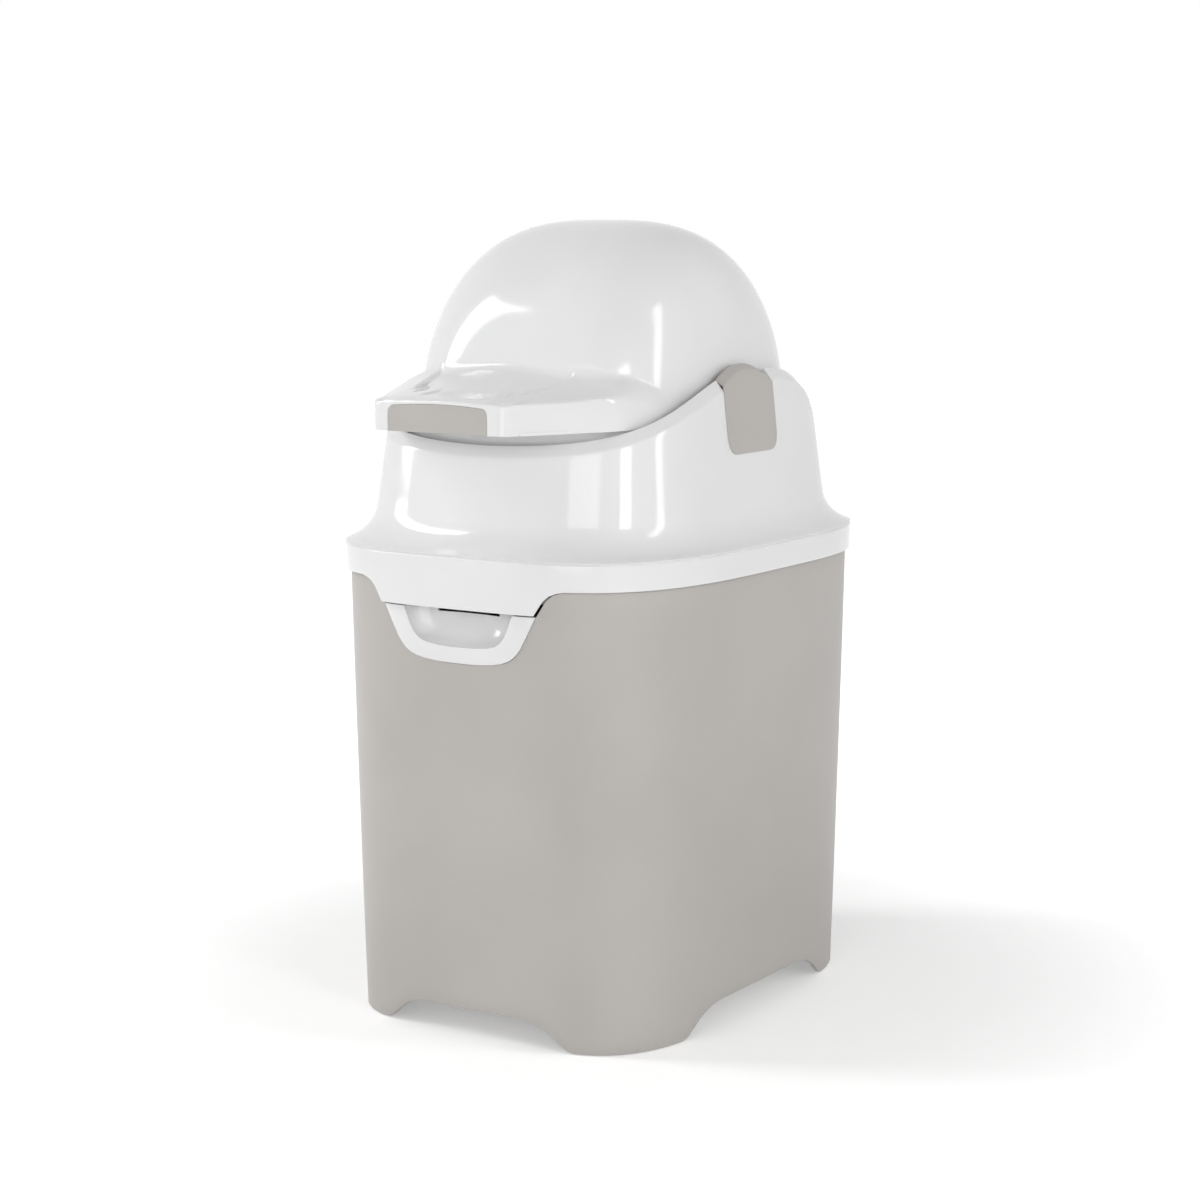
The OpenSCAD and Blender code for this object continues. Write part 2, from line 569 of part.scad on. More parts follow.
seal_h = 4;
module drum_seal() color(rubber) {
    z0 = deck_z + deck_t + seat;
    low = pivot_z - z0;
    loop_loft([
        at_height(drum_section(low - seal_h, 7), z0), at_height(drum_section(low - seal_h, 7), z0 + 1.5),
        at_height(drum_section(low - seal_h, 2.2), z0 + seal_h),
        at_height(drum_section(low - seal_h, 0.8), z0 + seal_h), at_height(drum_section(low, 0.8), z0)]);
}
// Open at the front, where the foot of the catch sits
module rim_gasket() color(rubber) translate([0, 0, bin_h - 4.5]) linear_extrude(3) difference() {
    polygon(oval(rim_half_w - skirt_out + 1.5, rim_half_d - skirt_out + 1.5, bin_n_top));
    polygon(oval(rim_half_w - skirt_out + 0.1, rim_half_d - skirt_out + 0.1, bin_n_top));
    translate([-catch_foot_w / 2 - fit, -rim_half_d]) square([catch_foot_w + 2 * fit, rim_half_d / 2]);
}

catch_z = nose_z;
catch_w = latch_w - 6;
catch_foot_w = 80;
catch_front_y = -rim_half_d + 1.6;
catch_back_y = -rim_half_d + 19;
lip_inset = 0.15;
// Lip that hangs over the pull cup, with the catch on its back and a foot under the flange
module front_lip() color(white) difference() {
    union() {
        intersection() {
            front_prism(-bin_top_d, -bin_top_d / 4) difference() {
                notch_outline(-0.3);
                translate([-bin_top_w / 2, 0]) square([bin_top_w, lip_corner_z]);
            }
            translate([0, 0, lip_corner_z]) linear_extrude(rim_bottom_z - seat - lip_corner_z) difference() {
                polygon(oval(rim_half_w - lip_inset, rim_half_d - lip_inset, bin_n_top));
                polygon(oval(rim_half_w - lip_t, rim_half_d - lip_t, bin_n_top));
            }
        }
        translate([-catch_w / 2, 0, 0]) rotate([90, 0, 90]) linear_extrude(catch_w) polygon([
            [catch_front_y, catch_z - 2.4], [nose_y + 1.2, catch_z - 2.4], [nose_y + 1.2, catch_z + 0.5],
            [catch_front_y + 3.7, catch_z + 0.5], [catch_front_y + 3.7, deck_z + 1], [catch_front_y, deck_z + 1]]);
        translate([-catch_foot_w / 2, catch_front_y, deck_z])
            cube([catch_foot_w, catch_back_y - catch_front_y, deck_t]);
    }
    deck_screw_places() cylinder(h = 20, r = deck_screw_r + 0.3, center = true, $fn = 24);
}

// ---- pivots -------------------------------------------------------------------------------

bearing_half_d = axle_r + 14;
bearing_low_z = pivot_z - axle_r - 10;
bearing_high_z = pivot_z + axle_r + 3;
bearing_slope_z = bearing_high_z - 7;   // above it the outer face leans in with the housing's edge
bearing_face_x = drum_half_w + 1;
function bearing_outer_x(z) = housing_half_w(z) - housing_wall - 0.5;
bearing_screw_r = 1.5;
bearing_screw_l = 13;
module bearing_screw_places(side) for (y = [-1, 1]) mirror([side < 0 ? 1 : 0, 0, 0])
    translate([bearing_face_x, y * (axle_r + 8), pivot_z - axle_r - 1]) rotate([0, 90, 0]) children();
module bearing(side) color(white) difference() {
    mirror([side < 0 ? 1 : 0, 0, 0]) translate([0, bearing_half_d, 0]) rotate([90, 0, 0])
        linear_extrude(2 * bearing_half_d) polygon([
            [bearing_face_x, bearing_low_z], [bearing_outer_x(bearing_low_z), bearing_low_z],
            [bearing_outer_x(bearing_slope_z), bearing_slope_z],
            [bearing_outer_x(bearing_high_z) - 2, bearing_high_z], [bearing_face_x, bearing_high_z]]);
    translate([0, 0, pivot_z]) rotate([0, 90, 0]) cylinder(h = 400, r = axle_r + axle_fit, center = true);
    bearing_screw_places(side) cylinder(h = 30, r = bearing_screw_r, $fn = 24);
    bearing_screw_places(side) translate([0, 0, -1]) cylinder(h = 3.2, r = 3.2, $fn = 24);
}
module bearing_left() bearing(-1);
module bearing_right() bearing(1);
module bearing_screws() color(steel) for (side = [-1, 1]) bearing_screw_places(side) {
    translate([0, 0, 0.4]) cylinder(h = bearing_screw_l - 0.4, r = bearing_screw_r - 0.1, $fn = 24);
    translate([0, 0, 0.2]) cylinder(h = 1.8, r = 3, $fn = 24);
}

// Arch outline of the cover: width, flat foot at the height low and arch top at the height top
module arch_plate(low, top, corner) {
    half = cap_w / 2;
    spring = cap_arch_r - sqrt(pow(cap_arch_r, 2) - half * half);
    reach = asin(half / cap_arch_r);
    polygon(concat(
        [for (i = [0 : 4]) [-half + corner * (1 - cos(i * 22.5)), low + corner * (1 - sin(i * 22.5))]],
        [for (i = [4 : -1 : 0]) [half - corner * (1 - cos(i * 22.5)), low + corner * (1 - sin(i * 22.5))]],
        [for (i = [-6 : 6]) let (a = 90 + reach * i / 6)
            [cap_arch_r * cos(a), top - cap_arch_r + cap_arch_r * sin(a)]]));
}
function along_wall(z) = (z - pivot_z) / cos(lean);
saddle_rise = 4;
module pivot_cap(side) color(grey) {
    at_pivot_wall(side) {
        translate([0, 0, 0.05]) linear_extrude(cap_proud)
            arch_plate(along_wall(cap_bottom_z), along_wall(cap_top_z), 12);
        translate([0, 0, -housing_wall - 0.1]) cylinder(h = housing_wall + 0.5, r = wall_hole_r - 0.3);
    }
    // saddle over the chamfered edge of the housing
    hull() {
        at_pivot_wall(side) translate([0, 0, -0.4]) linear_extrude(0.9)
            saddle_outline(along_wall(cap_seat_z), along_wall(cap_top_z));
        mirror([side < 0 ? 1 : 0, 0, 0]) side_prism(saddle_in_x, saddle_in_x + 0.5)
            saddle_outline(cap_seat_z, cap_top_z + saddle_rise);
    }
}
saddle_in_x = housing_half_w(hump_z) - edge_chamfer;
module saddle_outline(low, top) intersection() {
    arch_plate(low - 20, top, 1);
    translate([-cap_w, low + seat]) square([2 * cap_w, 60]);
}
module pivot_cap_left() pivot_cap(-1);
module pivot_cap_right() pivot_cap(1);

ear_r = axle_r + 14;
module axle(side) color(grey) mirror([side < 0 ? 1 : 0, 0, 0]) translate([0, 0, pivot_z]) rotate([0, 90, 0]) {
    translate([0, 0, dome_half_w - drum_wall - 7]) difference() {
        cylinder(h = bearing_outer_x(pivot_z) - dome_half_w + drum_wall + 5.5, r = axle_r);
        translate([0, 0, -1]) cylinder(h = 40, r = axle_r - 4);
    }
    translate([0, 0, flange_x]) difference() {
        cylinder(h = 4, r = ear_r - 3);
        translate([0, 0, -1]) cylinder(h = 6, r = axle_r - 4);
        axle_screw_circle() cylinder(h = 20, r = axle_screw_r, center = true, $fn = 24);
    }
}
module axle_left() axle(-1);
module axle_right() axle(1);
axle_screw_r = 1.3;
flange_x = dome_half_w - drum_wall - 4.6;   // inner face of the axle's flange
module axle_screw_circle() for (a = [45 : 90 : 315]) rotate([0, 0, a]) translate([axle_r + 5, 0, 0]) children();
module axle_screws() color(steel) for (side = [-1, 1]) mirror([side < 0 ? 1 : 0, 0, 0])
    translate([flange_x, 0, pivot_z]) rotate([0, 90, 0]) axle_screw_circle() {
        translate([0, 0, -1]) cylinder(h = 6, r = axle_screw_r - 0.1, $fn = 24);
        translate([0, 0, -2]) cylinder(h = 1.9, r = 2.4, $fn = 24);
    }

// ---- drum ---------------------------------------------------------------------------------

// Half section of a drum about the pivot axis: radius r, half width w, squareness n
function drum_profile(r, w, n, steps) = concat(
    [[0, -w]],
    [for (i = [-steps : steps]) let (t = 90 * i / steps) oval_point(r, w, n, t)],
    [[0, w]]);
module drum_form(r, w, n, steps = 12) translate([0, 0, pivot_z]) rotate([0, 90, 0])
    rotate_extrude($fn = 96) polygon(drum_profile(r, w, n, steps));
module half_space(z0, z1) translate([-2 * drum_r, -2 * drum_r, z0]) cube([4 * drum_r, 4 * drum_r, z1 - z0]);

bill_back = -60;        // where the handle's flare has run into the dome's side
bill_stations = 26;
bill_columns = 14;
bill_edge_z = split_z + bill_h;
// Half width of the handle at the depth y: a blunt nose, a flare and a run into the dome's side
nose_half_w = 58;
nose_r = 10;
flare_half_w = dome_half_w - 4;
function bill_half_w(y, inset) = let (s = min(max((y + bill_reach) / (bill_reach + bill_back), 0), 1),
    corner = min((y + bill_reach) / nose_r, 1))
    nose_half_w - 4 + 4 * sqrt(1 - pow(1 - corner, 2)) + (flare_half_w - nose_half_w) * sin(90 * pow(s, 0.86)) - inset;
function smooth(v) = let (c = min(max(v, 0), 1)) c * c * (3 - 2 * c);
// Height of the handle's top at the depth y and the share s of its half width
function bill_top_z(y, s, inset) = let (
    run = max(y + bill_reach - grip_d, 0),
    rise = 2 + bill_rise * min(run / (bill_reach - dome_r), 1),
    side = bill_edge_z + 12 * smooth((y + 150) / 70),
    crown = rise * (1 - pow(abs(s), 1.8)),
    nose = -2.6 * (1 - min((y + bill_reach) / grip_d, 1)),
    out = norm([s * bill_half_w(y, 0), y + dome_r - 4]) - dish_r,
    dish = dish_depth * smooth(0.5 - out / 5))
    side + crown + nose - dish - inset;
module bill_form(inset, bottom, back = bill_back) {
    ys = [for (i = [0 : bill_stations]) let (s = i / bill_stations)
        mix(-bill_reach + inset, back, pow(s, 1.15))];
    rings = [for (y = ys) let (w = bill_half_w(max(y, -bill_reach + 0.5), inset)) concat(
        [[-w, y, bottom]], [[w, y, bottom]],
        [for (j = [bill_columns : -1 : -bill_columns]) let (s = j / bill_columns)
            [s * w, y, bill_top_z(y, s, inset) - (abs(j) == bill_columns ? 0.8 : 0)]])];
    count = len(rings[0]);
    last = (len(rings) - 1) * count;
    polyhedron(points = [for (r = rings) each r], faces = concat(
        [[for (j = [count - 1 : -1 : 0]) j]], [[for (j = [0 : count - 1]) last + j]],
        [for (i = [0 : len(rings) - 2], j = [0 : count - 1]) each let (k = (j + 1) % count)
            [[i * count + j, i * count + k, (i + 1) * count + k],
             [i * count + j, (i + 1) * count + k, (i + 1) * count + j]]]));
}

grip_box_y = -bill_reach + grip_d;
boss_r = 4;
drum_screw_r = 1.5;
drum_screw_in = 30;     // distance of the drum's screws from the handle's sides
drum_screw_ys = [-bill_reach + grip_d + 16, -drum_r - 6];
module drum_screw_places() for (side = [-1, 1], y = drum_screw_ys)
    translate([side * (bill_half_w(y, 0) - drum_screw_in), y, split_z]) children();
module dome_shell() color(white) difference() {
    union() {
        difference() {
            drum_form(dome_r, dome_half_w, dome_n);
            half_space(pivot_z - 2 * drum_r, split_z);
        }
        bill_form(0, split_z);
        translate([0, 0, pivot_z]) rotate([0, 90, 0]) cylinder(h = 2 * dome_half_w - 1, r = ear_r, center = true);
    }
    drum_form(dome_r - drum_wall, dome_half_w - drum_wall, dome_n);
    difference() {
        bill_form(drum_wall, split_z - 1, -dome_r + 20);
        drum_form(dome_r, dome_half_w, dome_n);
        drum_screw_places() translate([0, 0, tongue_t + fit]) cylinder(h = 60, r = boss_r, $fn = 24);
        translate([-150, -300, 0]) cube([300, 300 + grip_box_y + drum_wall, 600]);
    }
    translate([-grip_w / 2 - 0.1, -300, 0]) cube([grip_w + 0.2, 300 + grip_box_y + 0.1, 600]);
    translate([0, 0, pivot_z]) rotate([0, 90, 0]) cylinder(h = 400, r = axle_r + seat, center = true);
    drum_screw_places() cylinder(h = 12, r = drum_screw_r, $fn = 24);
    for (side = [-1, 1]) mirror([side < 0 ? 1 : 0, 0, 0]) translate([dome_half_w, 0, pivot_z]) rotate([0, 90, 0])
        axle_screw_circle() cylinder(h = 2.4 * drum_wall, r = axle_screw_r, center = true, $fn = 24);
}

// Soft grip: a C-shaped block set into the handle's front edge
module grip() color(grey) translate([-grip_w / 2, 0, 0]) rotate([90, 0, 90]) linear_extrude(grip_w) polygon([
    [grip_box_y, split_z], [-bill_reach + 1, split_z], [-bill_reach, split_z + 1.5],
    [-bill_reach, bill_edge_z - 1.2], [-bill_reach + 1.2, bill_edge_z + 0.2],
    [grip_box_y, bill_edge_z + 1.9]]);

ledge_reach_w = 12;     // inward reach of the collar's ledge at the sides
ledge_reach_d = 10;     // inward reach of the collar's ledge at the front and rear
tongue_t = 2.2;
tongue_steps = 20;
tongue_ys = [for (i = [0 : tongue_steps]) mix(grip_box_y + drum_wall + fit, -dome_r + 20, i / tongue_steps)];
module lower_drum() color(white) difference() {
    union() {
        difference() {
            drum_form(drum_r, drum_half_w, drum_n);
            half_space(split_z - seat, pivot_z + 2 * drum_r);
            half_space(pivot_z - 2 * drum_r, pivot_z - mouth_drop);
            difference() {
                drum_form(drum_r - drum_wall, drum_half_w - drum_wall, drum_n);
                half_space(split_z - seat - drum_wall, pivot_z + 2 * drum_r);
                half_space(pivot_z - 2 * drum_r, pivot_z - mouth_drop + drum_wall);
            }
            translate([0, 0, split_z - 2 * drum_wall]) linear_extrude(8 * drum_wall)
                polygon(oval(dome_half_w - ledge_reach_w, dome_r - ledge_reach_d, dome_n, 72));
        }
        // tongue that closes the handle from below
        difference() {
            translate([0, 0, split_z - seat]) linear_extrude(tongue_t) polygon(concat(
                [for (y = tongue_ys) [bill_half_w(y, drum_wall + fit), y]],
                [for (i = [tongue_steps : -1 : 0]) [-bill_half_w(tongue_ys[i], drum_wall + fit), tongue_ys[i]]]));
            drum_form(dome_r + fit, dome_half_w + fit, dome_n);
        }
    }
    translate([0, 0, pivot_z - mouth_drop - 5]) cylinder(h = 20, r = mouth_r);
    translate([0, 0, pivot_z]) rotate([0, 90, 0]) cylinder(h = 400, r = ear_r + 0.4, center = true);
    drum_screw_places() cylinder(h = 20, r = drum_screw_r + 0.2, center = true, $fn = 24);
    collar_screw_places() cylinder(h = 20, r = axle_screw_r, center = true, $fn = 24);
}
module drum_screws() color(steel) drum_screw_places() {
    translate([0, 0, -0.4]) cylinder(h = tongue_t + 9, r = drum_screw_r - 0.1, $fn = 24);
    translate([0, 0, -2.1]) cylinder(h = 1.8, r = 3, $fn = 24);
}

collar_t = 2.5;
collar_notch = 16;      // depth of the collar's notches for the axle flanges
// Tube with a collar that rests on the ledge of the lower drum
module nappy_tube() color(white) difference() {
    union() {
        translate([0, 0, tube_floor_z]) cylinder(h = tube_h, r = tube_r);
        translate([0, 0, split_z]) linear_extrude(collar_t) difference() {
            polygon(oval(dome_half_w - drum_wall - 1, dome_r - drum_wall - 1, dome_n, 72));
            for (side = [-1, 1]) translate([side * dome_half_w - collar_notch, -ear_r - 1])
                square([2 * collar_notch, 2 * ear_r + 2]);
        }
    }
    translate([0, 0, tube_floor_z - 1]) cylinder(h = tube_h + 2, r = tube_bore_r);
    collar_screw_places() cylinder(h = 20, r = axle_screw_r, center = true, $fn = 24);
}
// Four screws in the middle of the ledge that the collar rests on
collar_screw_y = ear_r + 49;
collar_screw_x = (oval_half(dome_half_w - ledge_reach_w, dome_r - ledge_reach_d, dome_n, collar_screw_y)
    + oval_half(dome_half_w - drum_wall - 1, dome_r - drum_wall - 1, dome_n, collar_screw_y)) / 2;
module collar_screw_places() for (x = [-collar_screw_x, collar_screw_x], y = [-collar_screw_y, collar_screw_y])
    translate([x, y, split_z + collar_t]) children();
module collar_screws() color(steel) collar_screw_places() {
    translate([0, 0, -collar_t - drum_wall])
        cylinder(h = collar_t + drum_wall + 0.2, r = axle_screw_r - 0.1, $fn = 24);
    translate([0, 0, 0.1]) cylinder(h = 1.9, r = 2.4, $fn = 24);
}
tube_end_t = 3;
module tube_end() color(white) translate([0, 0, tube_top_z]) {
    translate([0, 0, seat]) cylinder(h = tube_end_t, r = tube_r);
    translate([0, 0, -6]) difference() {
        cylinder(h = 6 + tube_end_t, r = tube_bore_r - 0.1);
        translate([0, 0, -1]) cylinder(h = 6, r = tube_bore_r - 2.5);
    }
}

// ---- piston -------------------------------------------------------------------------------

piston_wall = 2.5;
module piston_body() color(grey) translate([0, 0, piston_z]) difference() {
    cylinder(h = piston_h, r = piston_r);
    translate([0, 0, piston_wall]) cylinder(h = piston_h, r = piston_r - 2 * piston_wall);
    translate([0, 0, piston_h * 0.55]) difference() {
        cylinder(h = 5, r = piston_r + 1);
        translate([0, 0, -1]) cylinder(h = 7, r = piston_r - piston_wall);
    }
}
module piston_weight() color(steel) translate([0, 0, piston_z + piston_wall + seat])
    cylinder(h = weight_h, r = piston_r - 2 * piston_wall - 1);
module piston_lid() color(grey) translate([0, 0, piston_z + piston_h + seat]) {
    cylinder(h = 2.5, r = piston_r - 0.5);
    translate([0, 0, -5]) difference() {
        cylinder(h = 5, r = piston_r - 2 * piston_wall - 0.2);
        translate([0, 0, -1]) cylinder(h = 7, r = piston_r - 2 * piston_wall - 2);
    }
}
module piston_seal() color(rubber) translate([0, 0, piston_z + piston_h * 0.55 + 0.2]) difference() {
    cylinder(h = 4.6, r = piston_r + 0.2);
    translate([0, 0, -1]) cylinder(h = 7, r = piston_r - piston_wall + 0.1);
}

bin_shell();
pull_cup();
cup_screws();
latch_lever();
latch_pin();
latch_spring();
bag_ring();
hinge_bracket();
hinge_pin();
hinge_screws();
top_housing();
lid_deck();
deck_screws();
drum_seal();
rim_gasket();
lid_hinge();
lid_hinge_screws();
front_lip();
bearing_left();
bearing_right();
bearing_screws();
pivot_cap_left();
pivot_cap_right();
dome_shell();
grip();
lower_drum();
drum_screws();
nappy_tube();
collar_screws();
tube_end();
axle_left();
axle_right();
axle_screws();
piston_body();
piston_weight();
piston_lid();
piston_seal();
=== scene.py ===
# %% [markdown]
# # A nappy bin, built round a working frame
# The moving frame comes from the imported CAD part: a bin, a tilting top unit, a drum that flips
# front to back, a piston and a latch. This notebook gives that frame its looks. Each piece that
# shows is modelled again with soft edges, rides on the body that it belongs to and gets a
# material made from nodes.

# %% Load the frame
import json
import math

import bpy
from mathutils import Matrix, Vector


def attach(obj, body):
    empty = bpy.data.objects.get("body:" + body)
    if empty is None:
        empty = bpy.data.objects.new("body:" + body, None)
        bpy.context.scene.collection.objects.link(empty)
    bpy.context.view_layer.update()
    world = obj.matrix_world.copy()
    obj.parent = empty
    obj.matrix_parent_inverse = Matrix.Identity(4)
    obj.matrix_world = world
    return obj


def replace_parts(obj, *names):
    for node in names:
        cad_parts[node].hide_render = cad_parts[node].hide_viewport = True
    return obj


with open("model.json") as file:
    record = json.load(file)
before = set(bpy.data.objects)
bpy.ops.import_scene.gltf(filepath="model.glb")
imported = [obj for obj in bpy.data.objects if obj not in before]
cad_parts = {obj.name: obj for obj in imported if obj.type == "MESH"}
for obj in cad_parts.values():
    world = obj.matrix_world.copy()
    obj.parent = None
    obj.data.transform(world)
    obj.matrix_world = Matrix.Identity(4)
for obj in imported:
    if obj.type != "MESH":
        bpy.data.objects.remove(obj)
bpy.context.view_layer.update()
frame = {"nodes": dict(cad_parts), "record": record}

MM = 0.001
print("nodes:", len(frame["nodes"]))

# %% [markdown]
# Operators act on whatever is selected, and the imported frame is selected. So every step first
# clears the selection and then picks its own object. Faces and edges are chosen in code, by
# their place or by their normal.


# %% Small helpers for operators
def only(obj):
    """Makes obj the one selected and active object."""
    bpy.ops.object.select_all(action="DESELECT")
    obj.select_set(True)
    bpy.context.view_layer.objects.active = obj
    return obj


def edit(obj, what="VERT"):
    """Opens obj in edit mode with nothing selected."""
    only(obj)
    bpy.ops.object.mode_set(mode="EDIT")
    bpy.ops.mesh.select_mode(type=what)
    bpy.ops.mesh.select_all(action="DESELECT")


def done():
    bpy.ops.object.mode_set(mode="OBJECT")


def apply_all(obj):
    only(obj)
    for modifier in list(obj.modifiers):
        bpy.ops.object.modifier_apply(modifier=modifier.name)


def settle(obj):
    """Applies place, turn and scale, so that the piece's place is in its mesh."""
    only(obj)
    bpy.ops.object.transform_apply(location=True, rotation=True, scale=True)
    return obj


def merge_and_face_out(obj, distance=0.02 * MM):
    """Merges doubled vertices, then turns every face outwards."""
    edit(obj)
    bpy.ops.mesh.select_all(action="SELECT")
    bpy.ops.mesh.remove_doubles(threshold=distance)
    bpy.ops.mesh.normals_make_consistent(inside=False)
    done()
    return obj


def soften(obj, width, segments=3, angle=35.0):
    """Rounds the edges that are sharper than angle degrees."""
    bevel = obj.modifiers.new("edge_round", "BEVEL")
    bevel.width = width
    bevel.segments = segments
    bevel.limit_method = "ANGLE"
    bevel.angle_limit = math.radians(angle)
    bevel.use_clamp_overlap = True
    bevel.harden_normals = False
    apply_all(obj)
    return obj


def smooth(obj, angle=40.0):
    only(obj)
    bpy.ops.object.shade_smooth_by_angle(angle=math.radians(angle))
    return obj


def report(obj):
    """Prints what a piece measures."""
    low = [min(v.co[i] for v in obj.data.vertices) / MM for i in range(3)]
    high = [max(v.co[i] for v in obj.data.vertices) / MM for i in range(3)]
    size = " x ".join("%.1f" % (b - a) for a, b in zip(low, high))
    print("%s: %s mm, z %.1f to %.1f, %d faces" % (obj.name, size, low[2], high[2], len(obj.data.polygons)))


# %% [markdown]
# The bin and its top unit are neither round nor rectangular. Seen from above they are squared
# ovals, so x and y obey |x/a|^n + |y/b|^n = 1 with n near 3.5. A ring of a cylinder can be
# scaled by an operator but not squared, so one helper takes a flat grid primitive and sets each
# of its vertices where a rule says. That is the same idea as a lattice, but with exact sizes.


# %% Squared ovals and shaped sheets
def mix(a, b, f):
    return a + (b - a) * f


def clamp(v, low=0.0, high=1.0):
    return min(max(v, low), high)


def ease(v):
    c = clamp(v)
    return c * c * (3 - 2 * c)


def through(points, v):
    """The height at v on straight lines through points (v, height), flat beyond its ends."""
    if v <= points[0][0]:
        return points[0][1]
    for (v0, h0), (v1, h1) in zip(points, points[1:]):
        if v <= v1:
            return mix(h0, h1, (v - v0) / (v1 - v0))
    return points[-1][1]


def flowing(points, v):
    """Like through, but a smooth curve that never swings past its points."""
    steps = [(h1 - h0) / (v1 - v0) for (v0, h0), (v1, h1) in zip(points, points[1:])]
    bends = [2 * a * b / (a + b) if a * b > 0 else 0.0 for a, b in zip(steps, steps[1:])]
    slopes = [steps[0]] + bends + [steps[-1]]
    v = clamp(v, points[0][0], points[-1][0])
    for (v0, h0), (v1, h1), m0, m1 in zip(points, points[1:], slopes, slopes[1:]):
        if v <= v1:
            w = v1 - v0
            f = (v - v0) / w
            return (h0 * (1 + 2 * f) * (1 - f) ** 2 + h1 * f * f * (3 - 2 * f)
                    + w * (m0 * f * (1 - f) ** 2 - m1 * f * f * (1 - f)))


def oval_point(half_w, half_d, n, t):
    """Point of a squared oval at the angle t, in radians."""
    c, s = math.cos(t), math.sin(t)
    return (math.copysign(half_w * abs(c) ** (2 / n), c), math.copysign(half_d * abs(s) ** (2 / n), s))


def even_angles(half_w, half_d, n, count, weight=lambda x, y: 1.0):
    """Angles whose points lie evenly round the oval, closer together where the weight is high."""
    steps = 20000
    run, last, total = [0.0], oval_point(half_w, half_d, n, 0.0), 0.0
    for i in range(1, steps + 1):
        p = oval_point(half_w, half_d, n, math.tau * i / steps)
        total += math.hypot(p[0] - last[0], p[1] - last[1]) * weight(*p)
        run.append(total)
        last = p
    angles, i = [], 0
    for k in range(count):
        goal = total * k / count
        while run[i + 1] < goal:
            i += 1
        angles.append(math.tau * (i + (goal - run[i]) / (run[i + 1] - run[i])) / steps)
    return angles


def shaped_grid(name, nu, nv, place):
    """A grid primitive of nu by nv faces whose vertices go where place(i, j) says, in mm."""
    bpy.ops.object.select_all(action="DESELECT")
    bpy.ops.mesh.primitive_grid_add(x_subdivisions=nu, y_subdivisions=nv, size=1.0)
    obj = bpy.context.active_object
    obj.name = obj.data.name = name
    for v in obj.data.vertices:
        i, j = round((v.co.x + 0.5) * nu), round((v.co.y + 0.5) * nv)
        v.co = Vector(place(i, j)) * MM
    return obj


def close_ends(obj):
    """Fills every open edge loop of obj with one face each."""
    edit(obj, "EDGE")
    bpy.ops.mesh.select_non_manifold(extend=False, use_wire=False, use_boundary=True,
                                     use_multi_face=False, use_non_contiguous=False, use_verts=False)
    bpy.ops.mesh.edge_face_add()
    done()
    return obj


def ring_body(name, angles, rings, closed=False):
    """A skin through rings, each a rule from angle to point; closed joins the last ring to the first."""
    count, rows = len(angles), len(rings)
    obj = shaped_grid(name, count, rows if closed else rows - 1,
        lambda i, j: rings[j % rows](angles[i % count]))
    return merge_and_face_out(obj)


# %% [markdown]
# ## The bin
# The real bin is one injection-moulded tub with a 3 mm wall. It narrows towards the floor and
# stands on four feet between shallow arches. It could be cut from a block with booleans, but
# then the long walls would be full of split faces. Here each column of the skin simply starts
# at the height of the arch below it, so the arch edges are clean and the wall stays smooth.

# %% The bin's sizes
BIN_H = 350.0
BIN_BASE, BIN_RIM = (145, 186.5, 4.2), (155, 204.5, 3.45)
FLOOR_TOP = 28.0
FLOOR_UNDER = 25.0
WALL = 3.0
LEDGE_Z = 282.0
FRONT_ARCH = [(45, 20.8), (60, 18), (71, 11), (80, 3), (85, 0)]
SIDE_ARCH = [(60, 21), (74, 19.4), (89.4, 13.5), (100, 5), (107.5, 0)]


def bin_plan(z, inset):
    """Half width, half depth and power of the bin's oval at the height z."""
    half_w, half_d, n = (mix(low, high, z / BIN_H) for low, high in zip(BIN_BASE, BIN_RIM))
    return half_w - inset, half_d - inset, n


def bin_oval(t, z, inset):
    return oval_point(*bin_plan(z, inset), t)


def arch_at(t):
    """Height of the bottom edge over the floor at the angle t."""
    x, y = bin_oval(t, 0, 0)
    if abs(y) > 150:
        return through(FRONT_ARCH, abs(x))
    if abs(x) > 100:
        return through(SIDE_ARCH, abs(y))
    return 0.0


def foot_weight(x, y):
    at_front_arch = 40 < abs(x) < 90 and abs(y) > 150
    at_side_arch = 55 < abs(y) < 112 and abs(x) > 100
    return 2.2 if at_front_arch or at_side_arch else 1.0


BIN_ANGLES = even_angles(*BIN_BASE, 320, foot_weight)
smoothed_arch = {}
for k, t in enumerate(BIN_ANGLES):
    near = [arch_at(BIN_ANGLES[(k + s) % len(BIN_ANGLES)]) for s in (-2, -1, 0, 1, 2)]
    smoothed_arch[t] = (near[0] + 2 * near[1] + 3 * near[2] + 2 * near[3] + near[4]) / 9

# %% [markdown]
# The skin is a stack of rings: from the floor's underside down the inside of the foot edge,
# round that edge, up the outer wall, over the rim and down inside to the floor. The two open
# ends are filled with one face each, which are the two sides of the floor.


# %% Skin of the bin
def bin_ring(inset, z):
    return lambda t: (*bin_oval(t, z, inset), z)


def edge_ring(inset, rise):
    """Ring just over the bottom edge, which follows the arches."""
    def rule(t):
        z = smoothed_arch[t] + rise
        return (*bin_oval(t, z, inset), z)
    return rule


def wall_ring(f):
    """Ring at the share f of the way from the bottom edge to the top."""
    def rule(t):
        z = mix(smoothed_arch[t] + 1.2, BIN_H - 1.5, f)
        return (*bin_oval(t, z, 0), z)
    return rule


